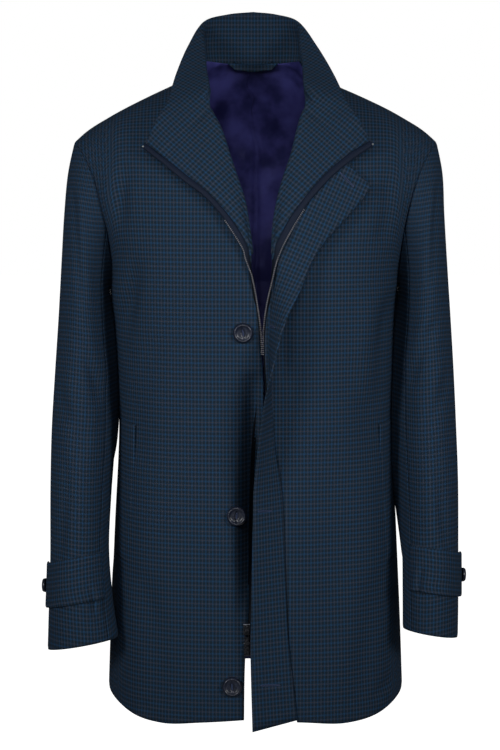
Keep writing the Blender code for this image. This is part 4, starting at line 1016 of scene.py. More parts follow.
LAPEL_TOPS = {}
for name, side in SIDES.items():
    middle = facing_grid(name)
    first = TURN_IN_COLUMNS + ROLL_COLUMNS
    facing = unit(np.cross(np.gradient(middle, axis=0), np.gradient(middle, axis=1)))
    facing = -facing * np.sign(facing[LAPEL_ROWS // 4, first + LAPEL_COLUMNS // 2, 1])
    roll, sewn = unroll(middle[:, first], middle[:, -1], side)
    grain = np.exp(-1j * np.angle(sewn[LAPEL_ROWS // 2] - sewn[0])) * -1j
    roll, sewn = (roll - sewn[0]) * grain, (sewn - sewn[0]) * grain
    run = lengths(middle, 1) - lengths(middle, 1)[:, first:first + 1]
    flat = roll[:, None] + (sewn - roll)[:, None] * run / run[:, -1:]
    LAPEL_TOPS[name] = roll[0], sewn[0]
    kept = np.zeros(middle.shape[:2], bool)
    kept[0, first:-1] = True
    walls = thicken(middle, facing, FACING_CLOTH, middle=True, kept=kept)
    piece(f"facing_{name}", *walls, held="folded", uv=as_uv(flat))

# %% Collar
COLLAR = table("fold_x fold_y fold_z edge_x edge_y edge_z left_lean", [
    (0.0000, 0.0760, 0.1000, 0.0000, 0.0750, 0.1066, 0.0000),
    (0.0335, 0.0710, 0.0960, 0.0335, 0.0700, 0.1031, -0.0030),
    (0.0620, 0.0520, 0.0880, 0.0645, 0.0510, 0.0925, -0.0050),
    (0.0613, 0.0180, 0.0617, 0.0837, 0.0140, 0.0602, -0.0015),
    (0.0589, -0.0240, 0.0341, 0.0969, -0.0240, 0.0261, 0.0040),
    (0.0550, -0.0680, 0.0081, 0.1055, -0.0600, -0.0046, 0.0090),
    (0.0560, -0.0960, -0.0205, 0.1128, -0.0780, -0.0212, 0.0110),
    (0.0750, -0.0990, -0.0490, 0.1220, -0.0900, -0.0370, 0.0115),
    (0.0850, -0.1065, -0.0770, 0.1335, -0.1000, -0.0640, 0.0120),
])
NECK_STATIONS = table("station x", [(0.0, 0.000), (1.0, 0.034), (2.0, 0.056), (3.0, 0.0662), (3.4, 0.068)])
ROLL_ROW = 6
GORGE_ROWS = 2
ROLL_TOP_Z = -0.022
FALL_STATION = 4
WING_BULGE = 0.003
WING_SHARE = 0.30
WING_FROM = 2.0
FLAT_FROM = 5.6
FOLD_ROUND = 0.004
STAND_BOW = 0.005
NECK_MIDDLE = np.array([0, 0.02, 0])
FOLD_CUT = 0.45
FALL_START = 0.2
FALL_OVER = 0.4
FALL_LIFT = 0.013
COLLAR_COLUMNS = 192
STAND_ROWS = 16
FOLD_ROWS = 8
WING_ROWS = 22
CREST_ROW = STAND_ROWS + FOLD_ROWS // 2
TUCK_UNDER = 0.0025


def front_neckline(name, share):
    """Points on a front's own neckline, at shares from the shoulder point down to the roll line."""
    edge = FRONTS[name][:, 0]
    z = edge[-1, 2] + (ROLL_TOP_Z - edge[-1, 2]) * share
    return stack(np.interp(z, edge[:, 2], edge[:, 0]), np.interp(z, edge[:, 2], edge[:, 1]), z)


def back_neckline(side, x):
    """Points on the back's own neckline at distances from its middle."""
    edge, across = BACK[-1], side * x
    depth, height = [np.interp(across, edge[:, 0], edge[:, axis]) for axis in (1, 2)]
    return stack(across, depth, height)


def neck_seam(name, station):
    """Seam line of the collar at stations counted from the centre back to the front edge."""
    side, shoulder = SIDES[name], NECK_STATIONS["station"][-1]
    back = back_neckline(side, smooth(NECK_STATIONS["station"], NECK_STATIONS["x"], station))
    share = np.clip((station - shoulder) / (ROLL_ROW - shoulder), 0, 1)
    front = front_neckline(name, share**2)
    gorge = lapel_points(name, np.clip((station - ROLL_ROW) / GORGE_ROWS, 0, 1), np.zeros_like(station))
    turned = ease(share * 2 - 1)[:, None]
    base = COLLAR_CLOTH / 2 + SEAM_GAP
    back = back + unit(back * [-1, -1, 0]) * base
    inward = unit(np.array([-side, 0, 0]) * (1 - turned) + np.array([0, -1, 0]) * turned)
    front = front + inward * (base + 2 * SEAM_GAP * (turned + 4 * turned * (1 - turned)))
    at = station[:, None]
    return np.where(at <= shoulder, back, np.where(at < ROLL_ROW, front, gorge))


def collar_half(name, station):
    """Neck seam, fold and free edge of one half of the collar, and how far it lies flat as a lapel."""
    side, lean = SIDES[name], COLLAR["left_lean"] if name == "left" else 0
    index = np.arange(len(COLLAR["fold_x"]), dtype=float)
    lines = []
    for part in ("fold", "edge"):
        line = stack(side * COLLAR[f"{part}_x"] + lean, COLLAR[f"{part}_y"], COLLAR[f"{part}_z"])
        if part == "edge":
            x, z, out = [ZIP[name][key][0] for key in ("cloth_x", "cloth_z", "cloth_out")]
            line[-1] = x, front_y(x, z) - out, z
        lines.append(np.stack([smooth(index, line[:, k], station) for k in range(3)], axis=-1))
    seam, (fold, edge) = neck_seam(name, station), lines
    lies_flat = ease(station - ROLL_ROW + 1)[:, None]
    flat = seam + (edge - seam) * WING_SHARE + np.array([0, -WING_BULGE, 0])
    fold = fold + (flat - fold) * lies_flat
    tuck = unit(seam - fold) * TUCK_UNDER * (1 - ease(station - FALL_STATION))[:, None]
    return seam + tuck, fold, edge, lies_flat


def fold_cut(first, second):
    """Share of the way between two lines at which the rounding of the fold ends."""
    return np.minimum(FOLD_ROUND / np.linalg.norm(second - first, axis=-1, keepdims=True), FOLD_CUT)


def collar_grid(station, seam, fold, edge):
    """Middle of the collar's cloth: straight to the fold, round it as a parabola, straight to the edge."""
    low = fold + (seam - fold) * fold_cut(seam, fold)
    high = fold + (edge - fold) * fold_cut(fold, edge)
    counts = STAND_ROWS, FOLD_ROWS, WING_ROWS
    rise, turn, fall = [np.linspace(0, 1, count + 1)[:, None, None] for count in counts]
    turn = turn[1:-1]
    bend = (1 - turn) ** 2 * low + 2 * turn * (1 - turn) * fold + turn**2 * high
    round_side = (ease(station - 1) * (1 - ease(station - FALL_STATION + 0.5)))[:, None]
    bow = unit((seam - NECK_MIDDLE) * [1, 1, 0]) * round_side * STAND_BOW * np.sin(math.pi * rise)
    grid = np.concatenate([seam + (low - seam) * rise + bow, bend, high + (edge - high) * fall])
    x, z = grid[..., 0], grid[..., 2]
    share = np.concatenate([np.zeros(STAND_ROWS + FOLD_ROWS), np.linspace(0, 1, WING_ROWS + 1)])[:, None]
    limit = front_y(x, z) - (COLLAR_CLOTH + FALL_LIFT * share)
    on_chest = (station[None] > FALL_STATION) & (z < shoulder_z(x))
    push = np.where(on_chest, np.minimum(limit - grid[..., 1], 0), 0)
    grid[..., 1] += push * ease((share - FALL_START) / FALL_OVER)
    return grid


def wing_map(name, station, grid, lies_flat):
    """UV of the turned part of one half, front end first, unrolled and laid against the lapel's top."""
    run = lengths(grid, 0)
    start = run[CREST_ROW] * (1 - lies_flat[:, 0])
    inner = grid[CREST_ROW] + (grid[0] - grid[CREST_ROW]) * lies_flat
    first, second = unroll(inner, grid[-1], -SIDES[name])
    roll, sewn = LAPEL_TOPS[name]
    gorge = np.interp(-ROLL_ROW, -station, first)
    grain = np.exp(1j * (np.angle(roll - sewn) - np.angle(gorge - first[0])))
    first, second = sewn + (first - first[0]) * grain, sewn + (second - first[0]) * grain
    return as_uv(first + (second - first) * (run - start) / (run[-1] - start))


half = np.linspace(0, len(COLLAR["fold_x"]) - 1, COLLAR_COLUMNS // 2 + 1)
halves = [collar_half(name, half) for name in ("right", "left")]
lines = [np.concatenate([right[::-1], left[1:]]) for right, left in zip(*halves)]
station = np.concatenate([half[::-1], half[1:]])
COLLAR_FACE = collar_grid(station, *lines[:3])
found = unit(np.cross(np.gradient(COLLAR_FACE, axis=1), np.gradient(COLLAR_FACE, axis=0)))
middle = COLLAR_COLUMNS // 2
COLLAR_FACING = -found * np.sign(found[STAND_ROWS // 2, middle, 1])
across = lengths(COLLAR_FACE, 1) - lengths(COLLAR_FACE, 1)[:, middle:middle + 1]
up = lengths(COLLAR_FACE, 0) + COLLAR_FACE[0, :, 2] - COLLAR_FACE[0, middle, 2]
right = wing_map("right", half[::-1], COLLAR_FACE[:, :middle + 1], lines[3][:middle + 1])
left = wing_map("left", half[::-1], COLLAR_FACE[:, :middle - 1:-1], lines[3][:middle - 1:-1])
turned_uv = np.concatenate([right, left[:, -2::-1]], axis=1)
cell = (station[1:] + station[:-1]) / 2
turned = (cell > FLAT_FROM) | ((np.arange(len(COLLAR_FACE) - 1) >= CREST_ROW)[:, None] & (cell > WING_FROM))
kept = np.zeros(COLLAR_FACE.shape[:2], bool)
kept[0] = station >= ROLL_ROW
walls = thicken(COLLAR_FACE, COLLAR_FACING, COLLAR_CLOTH, middle=True, kept=kept)
piece("collar", *walls, held="folded", uv=np.stack([across, up], axis=-1), other=(turned_uv, turned))

# %% [markdown]
# ## Storm flap
# The flap is a double strip sewn along the left front. At the top it is turned back with the lapel, so its
# underside shows. Lower down it turns over about its seam until it lies closed over the zip.

# %% Storm flap
FLAP = table("sewn_x sewn_z sewn_out free_x free_z free_out", [
    (0.1120, -0.0830, 0.0080, 0.1473, -0.1177, 0.0110),
    (0.0950, -0.0980, 0.0080, 0.1347, -0.1336, 0.0110),
    (0.0760, -0.1180, 0.0080, 0.1195, -0.1510, 0.0110),
    (0.0620, -0.1330, 0.0075, 0.1035, -0.1678, 0.0110),
    (0.0480, -0.1530, 0.0060, 0.0862, -0.1873, 0.0120),
    (0.0372, -0.1750, 0.0010, 0.0699, -0.2127, 0.0150),
    (0.0310, -0.1970, 0.0010, 0.0637, -0.2300, 0.0190),
    (0.0282, -0.2220, 0.0010, 0.0535, -0.2520, 0.0260),
    (0.0252, -0.2480, 0.0010, 0.0410, -0.2775, 0.0340),
    (0.0207, -0.2850, 0.0010, 0.0321, -0.3050, 0.0410),
    (0.0207, -0.3350, 0.0010, 0.0217, -0.3470, 0.0470),
    (0.0235, -0.3850, 0.0010, 0.0132, -0.3820, 0.0460),
    (0.0268, -0.4400, 0.0010, 0.0059, -0.4380, 0.0420),
    (0.0345, -0.4870, 0.0010, 0.0010, -0.4850, 0.0340),
    (0.0380, -0.5300, 0.0010, -0.0002, -0.5270, 0.0290),
    (0.0424, -0.6540, 0.0010, -0.0027, -0.6526, 0.0210),
    (0.0460, -0.7020, 0.0010, -0.0032, -0.7010, 0.0170),
    (0.0555, -0.7840, 0.0010, -0.0008, -0.7950, 0.0150),
])
FLAP_ROWS = 170
FLAP_COLUMNS = 20


def edge_line(rows, part):
    """One edge of a strip: its x and z from the table, set out from the front by its own amount."""
    x, z, out = rows[f"{part}_x"], rows[f"{part}_z"], rows[f"{part}_out"]
    return stack(x, front_y(x, z) - out, z)


def strip_grid(first, second, columns):
    """Straight lines from each point of one edge to the same point of the other."""
    share = np.linspace(0, 1, columns + 1)[None, :, None]
    return first[:, None] * (1 - share) + second[:, None] * share


rows = row_at(FLAP, np.linspace(0, len(FLAP["sewn_x"]) - 1, FLAP_ROWS + 1))
FLAP_FACE = strip_grid(edge_line(rows, "sewn"), edge_line(rows, "free"), FLAP_COLUMNS)
FLAP_FACING = normals(FLAP_FACE, (0, -1, 0))
sewn, free = unroll(FLAP_FACE[:, 0], FLAP_FACE[:, -1], 1)
grain = np.exp(-1j * np.angle(sewn[-1] - sewn[FLAP_ROWS // 2])) * -1j
flat = (sewn[:, None] + (free - sewn)[:, None] * np.linspace(0, 1, FLAP_COLUMNS + 1)) * grain
walls = thicken(FLAP_FACE, FLAP_FACING, STRAP_CLOTH, middle=True)
piece("storm_flap", *walls, held="folded", uv=as_uv(flat))

# %% [markdown]
# ## Cuff straps and pocket welts
# A strap is a band laid round the sleeve from its front seam to the outer side, where its end stands off
# and is buttoned. A welt is a narrow band that covers a pocket's mouth. Both take the points of the cloth
# under them, moved outwards, so they bend as it does.

# %% Straps and welts
STRAP_DOWN = (11.25 / 14, 12.50 / 14)
STRAP_TURN = (7.0 / 18, -1.2 / 18)
STRAP_LOOSE = 1.5 / 18
STRAP_FLARE = 0.006
STRAP_COLUMNS = 60
STRAP_ROWS = 24
WELT_COLUMNS = (-3.6 / 11, -1.5 / 11)
WELT_LOW_Z = -0.597
WELT_HIGH_Z = -0.418
WELT_ROWS = 40
WELT_RISE = 0.0006
WELT_ACROSS = 14


def sleeve_place(name, down, turn):
    """Points on a sleeve's outer face and their normals, at shares down and round the sleeve."""
    columns = SLEEVES[name][0].shape[1]
    closed = [np.concatenate([grid, grid[:, :1]], axis=1) for grid in SLEEVES[name][:2]]
    at, facing = [read_grid(grid, down * RINGS, (turn % 1) * columns) for grid in closed]
    return at, unit(facing)


def strap_lift(turn):
    """Height of the strap off the sleeve, growing with the square of the way to its free end."""
    return SKIN_GAP + STRAP_FLARE * np.clip((STRAP_LOOSE - turn) / (STRAP_LOOSE - STRAP_TURN[1]), 0, 1) ** 2


for name, grid in FRONTS.items():
    turn = np.linspace(*STRAP_TURN, STRAP_COLUMNS + 1)
    at, facing = sleeve_place(name, np.linspace(*STRAP_DOWN, STRAP_ROWS + 1)[:, None], turn)
    face = at + facing * (strap_lift(turn) + STRAP_CLOTH)[None, :, None]
    piece(f"cuff_strap_{name}", *thicken(face, facing, STRAP_CLOTH), held="folded")
    column = round((1 + WELT_COLUMNS[0]) * FRONT_COLUMNS)
    heights = grid[:BODY_ROWS, column, 2]
    rows = np.interp(np.linspace(WELT_LOW_Z, WELT_HIGH_Z, WELT_ROWS + 1), heights, np.arange(BODY_ROWS))
    columns = (1 + np.linspace(*WELT_COLUMNS, WELT_ACROSS + 1)) * FRONT_COLUMNS
    facing = read_grid(normals(grid, (0, -1, 0)), rows[:, None], columns)
    face = read_grid(grid, rows[:, None], columns) + facing * WELT_RISE
    uv = read_grid(upright_map(grid, front_y), rows[:, None], columns)
    piece(f"pocket_welt_{name}", *thicken(face, facing, STRAP_CLOTH), held="folded", uv=uv)

# %% [markdown]
# ## Back lining
# The satin hangs loose inside the back, with a pleat down the middle that gives room to move. Each half is
# the back's own surface moved inwards. The pleat wanders from side to side, soft waves leave it on both
# sides, and the top is sewn to the collar's stand along a level line. A small cloth piece covers the
# pleat's top, and the hanger loop is a narrow band just above it.

# %% Lining, neck facing and hanger loop
LINING_HEM_ROW = 8
LINING_SIDE_COLUMN = 12
LINING_LEVEL = 0.0385
LINING_TILT = 0.105
LINING_ROWS_UP = 4
PLEAT_COLUMN = BACK_COLUMNS // 2
PLEAT_SPREAD = 0.025
PLEAT = table("z x", [
    (-0.420, 0.0000),
    (-0.208, 0.0028),
    (-0.145, 0.0045),
    (-0.111, 0.0038),
    (-0.074, 0.0056),
    (-0.047, 0.0012),
    (-0.021, -0.0014),
    (0.002, -0.0010),
    (0.010, -0.0078),
    (0.029, -0.0055),
])
LINING_CREASES = [
    (0.000, 0.045, 0.000, -0.350, 0.000, 0.0062, 0.0034),
    (-0.014, 0.012, -0.004, -0.110, 0.004, 0.0030, 0.007),
    (-0.034, 0.020, -0.012, -0.120, 0.006, 0.0030, 0.012),
    (0.026, 0.028, 0.016, -0.090, -0.004, 0.0028, 0.012),
    (0.048, -0.005, 0.008, -0.080, 0.006, 0.0028, 0.010),
    (-0.044, -0.050, -0.006, -0.130, -0.006, 0.0026, 0.010),
    (0.040, -0.090, 0.006, -0.160, 0.005, 0.0026, 0.010),
    (-0.030, -0.130, -0.004, -0.200, -0.005, 0.0024, 0.009),
    (0.030, -0.170, 0.006, -0.250, 0.004, 0.0024, 0.009),
    (-0.006, 0.003, 0.006, 0.000, 0.000, 0.0040, 0.0030),
    (0.000, -0.109, 0.010, -0.113, 0.000, 0.0035, 0.0025),
    (0.000, -0.143, 0.009, -0.147, 0.000, 0.0035, 0.0025),
    (-0.030, -0.226, 0.026, -0.236, 0.004, 0.0050, 0.0070),
    (-0.018, -0.052, -0.002, -0.066, 0.002, 0.0036, 0.0050),
]
NECK_FACING_TOP = 13.0
NECK_FACING_FOOT = 0.68
NECK_FACING_DROP = 0.0095
NECK_FACING_BACK = 0.002
NECK_FACING_ROWS = 9
NECK_FACING_COLUMNS = 24
LOOP_ROWS = (0.62, 1.30)
LOOP_GRID_ROWS = 5
LOOP_HALF = 9
LOOP_COLUMNS = 25

lining = CREASED_BACK - BACK_FACING * (COAT_CLOTH + SKIN_GAP)
lining = lining - BACK_FACING * troughs(BACK[..., 0], BACK[..., 2], LINING_CREASES)[..., None].clip(0)
lining[..., 0] += smooth(PLEAT["z"], PLEAT["x"], BACK[..., 2]) * bell(BACK[..., 0] / PLEAT_SPREAD)
neck = np.arange(PLEAT_COLUMN - NECK_COLUMNS // 2, PLEAT_COLUMN + NECK_COLUMNS // 2 + 1)
x = BACK[-1, neck, 0]
station = np.interp(np.abs(x), NECK_STATIONS["x"], NECK_STATIONS["station"])
at = COLLAR_COLUMNS / 2 + np.sign(x) * station * COLLAR_COLUMNS / 2 / half[-1]
low, high = read_grid(COLLAR_FACE, 0, at), read_grid(COLLAR_FACE, STAND_ROWS, at)
level = LINING_LEVEL + LINING_TILT * (low[NECK_COLUMNS // 2, 1] - low[:, 1])
rows = np.clip((level - low[:, 2]) / (high - low)[:, 2] * STAND_ROWS, 0, LINING_ROWS_UP)
stand_off = COLLAR_CLOTH / 2 + SKIN_GAP + LINING_CLOTH
lining[-1, neck] = read_grid(COLLAR_FACE, rows, at) + read_grid(COLLAR_FACING, rows, at) * stand_off
halves = {"right": slice(LINING_SIDE_COLUMN, PLEAT_COLUMN + 1),
          "left": slice(PLEAT_COLUMN, -LINING_SIDE_COLUMN)}
for name, columns in halves.items():
    walls = thicken(lining[LINING_HEM_ROW:, columns], BACK_FACING[LINING_HEM_ROW:, columns], LINING_CLOTH)
    piece(f"lining_back_{name}", *walls, finishes=(SATIN,), slot="lining_satin")

columns = COLLAR_COLUMNS / 2 + np.linspace(-NECK_FACING_TOP, NECK_FACING_TOP, NECK_FACING_COLUMNS + 1)
inward = unit(read_grid(COLLAR_FACING, LOOP_ROWS[0], columns))
top = read_grid(COLLAR_FACE, LOOP_ROWS[0], columns) + inward * (stand_off + SKIN_GAP)
foot = top * [NECK_FACING_FOOT, 1, 1] + [0, NECK_FACING_BACK, -NECK_FACING_DROP]
grid = np.swapaxes(strip_grid(foot, top, NECK_FACING_ROWS), 0, 1)
uv = np.stack([grid[..., 0], grid[..., 2] - COLLAR_FACE[0, COLLAR_COLUMNS // 2, 2]], axis=-1)
piece("neck_facing", *thicken(grid, normals(grid, (0, -1, 0)), LINING_CLOTH), held="stretched", uv=uv)

rows = np.linspace(*LOOP_ROWS, LOOP_GRID_ROWS)[:, None]
columns = COLLAR_COLUMNS / 2 + np.linspace(-LOOP_HALF, LOOP_HALF, LOOP_COLUMNS)
inward = unit(read_grid(COLLAR_FACING, rows, columns))
grid = read_grid(COLLAR_FACE, rows, columns) + inward * (stand_off + 3 * SKIN_GAP)
uv = read_grid(np.stack([across, up], axis=-1), rows, columns)
piece("hanger_loop", *thicken(grid, inward, LINING_CLOTH), held=None, uv=uv)

# %% [markdown]
# ## Zip
# The zip's two tapes follow the front edges from the collar tips to just above the hem. The CAD slider,
# tab and box keep their shapes and get a darkened metal finish here.

# %% Tapes and metal
TAPE_ROWS = 240
TAPE_COLUMNS = 6
TAPE_CROWN = 0.0010


def zip_line(name, rows, part):
    """One edge of a tape, pressed in with the front that it is sewn to."""
    line = edge_line(rows, part)
    line[..., 1] += troughs(line[..., 0], line[..., 2], FRONT_CREASES[name])
    return line


for name in SIDES:
    rows = row_at(ZIP[name], np.linspace(0, len(ZIP[name]["tape_x"]) - 1, TAPE_ROWS + 1))
    middle = strip_grid(zip_line(name, rows, "cloth"), zip_line(name, rows, "tape"), TAPE_COLUMNS)
    facing = normals(middle, (0, -1, 0))
    crown = TAPE_CROWN * np.sin(np.linspace(0, math.pi, TAPE_COLUMNS + 1))
    face = middle + facing * (TAPE_CLOTH / 2 + crown[None, :, None])
    walls = thicken(face, facing, TAPE_CLOTH)
    piece(f"zip_tape_{name}", *walls, finishes=(TAPE,), slot="zip_tape", held=None)

for node in ("zip_slider", "zip_pull", "zip_box"):
    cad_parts[node].data.materials.clear()
    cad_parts[node].data.materials.append(DARK_METAL)
    print(node, "keeps its CAD shape")

# %% [markdown]
# ## Zip teeth
# A coil zip's teeth are turns of one thick thread. From the front each turn shows as a small bright bead,
# so here a bead is a ball of few faces, stretched across the edge of the tape and set at every pitch, down
# to where the two edges meet and the flap hides them. The top stop is a bead of metal at the tape's end.

# %% Teeth and top stops
TEETH_FROM = 4.2
TEETH_TO = 11.2
TEETH_PITCH = 0.0024
TOOTH = (0.0011, 0.0008, 0.0011)
STOP = (0.0015, 0.0014, 0.0014)
STOP_ROW = 0.03
BALL_RINGS = 4
BALL_SIDES = 8
FINE_ROWS = 4000


def balls(name, places, axes, sizes, finish_used):
    """Stretched balls of few faces: a place plus the sum of axis times size times a ball's point."""
    rise = np.linspace(-math.pi / 2, math.pi / 2, BALL_RINGS + 1)[:, None]
    turn = np.linspace(0, 2 * math.pi, BALL_SIDES + 1)[None, :-1]
    ball = stack(np.sin(rise), np.cos(rise) * np.cos(turn), np.cos(rise) * np.sin(turn)).reshape(-1, 3)
    points = places[:, None] + np.einsum("pk,nkc->npc", ball * sizes, axes)
    ring = np.arange(BALL_SIDES)
    first = (np.arange(BALL_RINGS)[:, None] * BALL_SIDES + ring).ravel()
    after = (np.arange(BALL_RINGS)[:, None] * BALL_SIDES + np.roll(ring, -1)).ravel()
    cells = np.stack([first, after, after + BALL_SIDES, first + BALL_SIDES], axis=-1)
    faces = (cells[None] + np.arange(len(places))[:, None, None] * len(ball)).reshape(-1, 4)
    made = add_mesh(name, points.reshape(-1, 3), faces, (finish_used,))
    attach(made, "coat")
    print(f"{name}: {len(places)} of {len(cells)} faces")
    return made


def zip_edge(name, rows):
    """Places on the outer edge of a tape, and its directions across, along and outwards."""
    at = row_at(ZIP[name], rows)
    cloth, edge = zip_line(name, at, "cloth"), zip_line(name, at, "tape")
    across, along = unit(edge - cloth), unit(np.gradient(edge, axis=0))
    out = unit(np.cross(across, along))
    out = out * np.sign(-out[:, 1:2])
    return edge, np.stack([across, along, out], axis=1)


for name in SIDES:
    fine = np.linspace(TEETH_FROM, TEETH_TO, FINE_ROWS)
    edge, axes = zip_edge(name, fine)
    run = lengths(edge[:, None], 0)[:, 0]
    at = np.searchsorted(run, np.arange(0, run[-1], TEETH_PITCH))
    places = edge[at]
    balls(f"zip_teeth_{name}", places, axes[at], np.array(TOOTH), COIL)
    edge, axes = zip_edge(name, np.linspace(0, 1, FINE_ROWS))
    at = [round(STOP_ROW * FINE_ROWS)]
    places = edge[at] + (axes[at, 2] - axes[at, 0]) * STOP[0]
    balls(f"top_stop_{name}", places, axes[at], np.array(STOP), METAL)

# %% [markdown]
# ## Buttonholes
# A buttonhole is a slit bound with close stitches of thread. Here it is a long, narrow loop of thread laid
# on the flap, drawn as a tube along an oval whose outer end is rounder, as a keyhole's is.

# %% Buttonholes on the flap
HOLES = table("row0 share0 row1 share1 side", [
    (0.71, 0.20, 0.79, 0.66, -1),
    (9.05, 0.05, 8.84, 0.50, -1),
    (13.84, 0.40, 13.84, 0.86, 1),
    (16.45, 0.32, 16.42, 0.78, 1),
])
HOLE_HALF = 0.0008
HOLE_EYE = 0.0008
THREAD_ROUND = 0.0005
HOLE_STEPS = 48
HOLE_EYE_FROM = 0.6
TUBE_SIDES = 6
TUBE_ASIDE = np.array([0.3, -1.0, 0.2])


def tube(name, path, radius, finish_used):
    """A closed tube along a loop: circles in the plane of two directions square to the path."""
    along = unit(np.roll(path, -1, axis=0) - np.roll(path, 1, axis=0))
    first = unit(np.cross(along, TUBE_ASIDE))
    second = np.cross(along, first)
    turn = np.linspace(0, 2 * math.pi, TUBE_SIDES + 1)[:-1, None]
    points = path[:, None] + radius * (first[:, None] * np.cos(turn) + second[:, None] * np.sin(turn))
    place = np.arange(len(path) * TUBE_SIDES).reshape(len(path), TUBE_SIDES)
    after, beside = np.roll(place, -1, axis=0), np.roll(place, -1, axis=1)
    faces = np.stack([place, after, np.roll(after, -1, axis=1), beside], axis=-1).reshape(-1, 4)
    made = add_mesh(name, points.reshape(-1, 3), faces, (finish_used,))
    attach(made, "coat")
    return made


for number, (row0, share0, row1, share1, side) in enumerate(zip(*HOLES.values())):
    scale = np.array([FLAP_ROWS / (len(FLAP["sewn_x"]) - 1), FLAP_COLUMNS])
    ends = [read_grid(FLAP_FACE, *(np.array(end) * scale)) for end in ((row0, share0), (row1, share1))]
    facing = side * unit(read_grid(FLAP_FACING, *(np.array([row0 + row1, share0 + share1]) / 2 * scale)))
    facing = facing * np.sign(-facing[1])
    along = unit(ends[1] - ends[0])
    turn = np.linspace(0, 2 * math.pi, HOLE_STEPS + 1)[:-1, None]
    wide = HOLE_HALF + HOLE_EYE * ease((np.cos(turn) - HOLE_EYE_FROM) / (1 - HOLE_EYE_FROM))
    middle = (ends[0] + ends[1]) / 2 + facing * (STRAP_CLOTH / 2 + THREAD_ROUND / 2)
    reach = np.linalg.norm(ends[1] - ends[0]) / 2
    path = middle + along * np.cos(turn) * reach + np.cross(facing, along) * np.sin(turn) * wide
    tube(f"buttonhole_{number}", path, THREAD_ROUND, BLUE_THREAD)
print("buttonholes:", len(HOLES["side"]))

# %% [markdown]
# ## Buttons
# The buttons are turned from resin: a raised, rounded rim, a dished face and a sunk eye shaped like a lens,
# across which the thread runs. Each is a round sheet of heights set where the CAD button is, on its axis.

# %% Buttons
BUTTON_STEPS = 40
RIM_AT = 0.80
RIM_WIDE = 0.15
FACE_SHARE = 0.62
EDGE_ROUND = 0.14
EYE_HALF = 0.24
EYE_LONG = 0.62
EYE_DEPTH = 0.0012
EYE_SOFT = 0.08
EDGE_SHARE_LOW = 0.4
FACE_PART = 0.6
STITCH_LONG = 0.30
STITCH_WIDE = 0.05
MILLIMETRES = 1000
BUTTON_TILT = {"front_button_top": 0.20, "front_button_middle": -0.10, "front_button_bottom": 0.10,
               "cuff_button_right": 0.0, "cuff_button_left": 0.0}


def button_frame(node):
    """Centre of the front face, axis and radius of a CAD button, from the spread of its points."""
    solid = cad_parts[node]
    points = np.array([solid.matrix_world @ v.co for v in solid.data.vertices])
    off = points - (points.min(0) + points.max(0)) / 2
    axis = np.linalg.svd(off - off.mean(0))[2][-1]
    outward = np.array([0, -1, 0]) if node.startswith("front") else np.array([np.sign(points[0, 0]), 0, 0])
    axis = axis * np.sign(axis @ outward)
    height = points @ axis
    face = points[height > height.max() - (height.max() - height.min()) * FACE_PART]
    centre = face.mean(0)
    reach = np.linalg.norm((face - centre) - ((face - centre) @ axis)[:, None] * axis, axis=1).max()
    return centre + axis * (height.max() - centre @ axis), axis, reach, height.max() - height.min()


for node, tilt in BUTTON_TILT.items():
    centre, axis, radius, thick = button_frame(node)
    u, v = np.meshgrid(np.linspace(-1, 1, BUTTON_STEPS + 1), np.linspace(-1, 1, BUTTON_STEPS + 1))
    x, y = u * np.sqrt(1 - v * v / 2), v * np.sqrt(1 - u * u / 2)
    r = np.minimum(np.hypot(x, y), 1)
    rounded = np.sqrt(1 - np.clip((r - 1 + EDGE_ROUND) / EDGE_ROUND, 0, 1) ** 2)
    height = thick * (FACE_SHARE + (1 - FACE_SHARE) * bell((r - RIM_AT) / RIM_WIDE))
    height *= EDGE_SHARE_LOW + (1 - EDGE_SHARE_LOW) * rounded
    height -= EYE_DEPTH * ease((EYE_HALF * (1 - (y / EYE_LONG) ** 2) - np.abs(x)) / EYE_SOFT)
    first = unit(np.cross([0, 0, 1], axis))
    second = np.cross(axis, first)
    first, second = (first * math.cos(tilt) + second * math.sin(tilt),
                     second * math.cos(tilt) - first * math.sin(tilt))
    flat = centre - axis * thick + radius * (x[..., None] * first + y[..., None] * second)
    made = wall(f"{node}_resin", flat + axis * height[..., None], flat, np.stack([x, y], axis=-1), (RESIN,))
    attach(made, "coat")
    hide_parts(node)
    turn = np.linspace(0, 2 * math.pi, HOLE_STEPS + 1)[:-1, None]
    loop = STITCH_LONG * np.cos(turn) * second + STITCH_WIDE * np.sin(turn) * first
    path = centre - axis * thick / 2 + radius * loop
    tube(f"{node}_thread", path, THREAD_ROUND, BLUE_THREAD)
    print(f"{node}: {2 * radius * MILLIMETRES:.1f} mm across, {thick * MILLIMETRES:.1f} mm thick")

# %% [markdown]
# ## Studio
# The coat hangs over a plain pale floor in a white room. Two broad lamps stand to the left and right of
# the camera and a weaker one above it, all aimed at the waist, so the light falls off towards the collar
# and the hem, and the gaps beside the sleeves and the flap stay dark. One more lamp lights the back.
# A dim, even room fills the shadows. The camera sees the room and the floor as plain white paper.

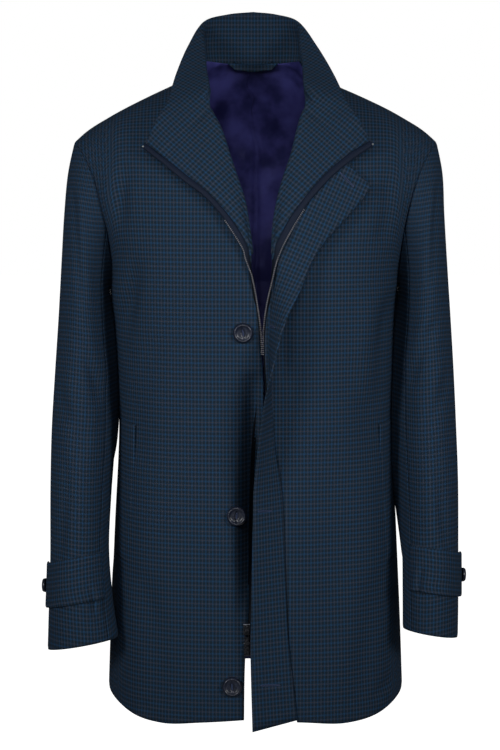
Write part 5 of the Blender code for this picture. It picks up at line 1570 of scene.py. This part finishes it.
# %% Floor, light and camera
FLOOR_Z = -1.10
FLOOR_HALF = 14.0
AIM = Vector((-0.0039, 0.0, -0.364))
DISTANCE = 3.0
ELEVATION = math.radians(6)
SENSOR = 36.0
FOCAL_PIXELS = 2308
PICTURE_HEIGHT = 750
LENS = SENSOR * FOCAL_PIXELS / PICTURE_HEIGHT
FLOOR_TONE = (0.8, 0.8, 0.8, 1)

FILL = 0.12
LAMPS = table("x y z aim_z power angle radius", [
    (-1.65, -1.90, 0.30, -0.34, 122.0, 40.0, 0.35),
    (1.65, -1.90, 0.30, -0.34, 122.0, 40.0, 0.35),
    (-0.04, -2.30, 0.58, -0.30, 90.0, 36.0, 0.50),
    (0.00, 2.40, -0.20, -0.34, 130.0, 44.0, 0.30),
])

corners = np.array([(-1, -1, 0), (1, -1, 0), (1, 1, 0), (-1, 1, 0)]) * [FLOOR_HALF, FLOOR_HALF, 0]
made, shader, wire = finish("pale_floor", Base_Color=FLOOR_TONE, Roughness=1.0,
                            Specular_IOR_Level=0.0, Emission_Strength=1.0)
plug(shader, Emission_Color=wire.add("ShaderNodeLightPath"))
floor = add_mesh("floor", corners + [0, 0, FLOOR_Z], np.array([[0, 1, 2, 3]]), (made,))

world = bpy.data.worlds.new("studio")
world.use_nodes = True
seen = Wire(world.node_tree).add("ShaderNodeLightPath")
plug(world.node_tree.nodes["Background"], Color=seen * (1 - FILL) + FILL)
bpy.context.scene.world = world
bpy.context.scene.view_settings.view_transform = "Standard"

for x, y, z, aim_z, power, spread, radius in zip(*LAMPS.values()):
    lamp = bpy.data.lights.new("lamp", "SPOT")
    lamp.energy, lamp.shadow_soft_size = power, radius
    lamp.spot_size, lamp.spot_blend = math.radians(spread), 1.0
    stand = bpy.data.objects.new("lamp", lamp)
    stand.location = (x, y, z)
    stand.rotation_euler = (Vector((0, 0, aim_z)) - stand.location).to_track_quat("-Z", "Y").to_euler()
    bpy.context.scene.collection.objects.link(stand)

view = bpy.data.cameras.new("camera")
view.lens, view.sensor_width = LENS, SENSOR
camera = bpy.data.objects.new("camera", view)
camera.location = AIM + Vector((0, -math.cos(ELEVATION), math.sin(ELEVATION))) * DISTANCE
camera.rotation_euler = (AIM - camera.location).to_track_quat("-Z", "Y").to_euler()
bpy.context.scene.collection.objects.link(camera)
bpy.context.scene.camera = camera
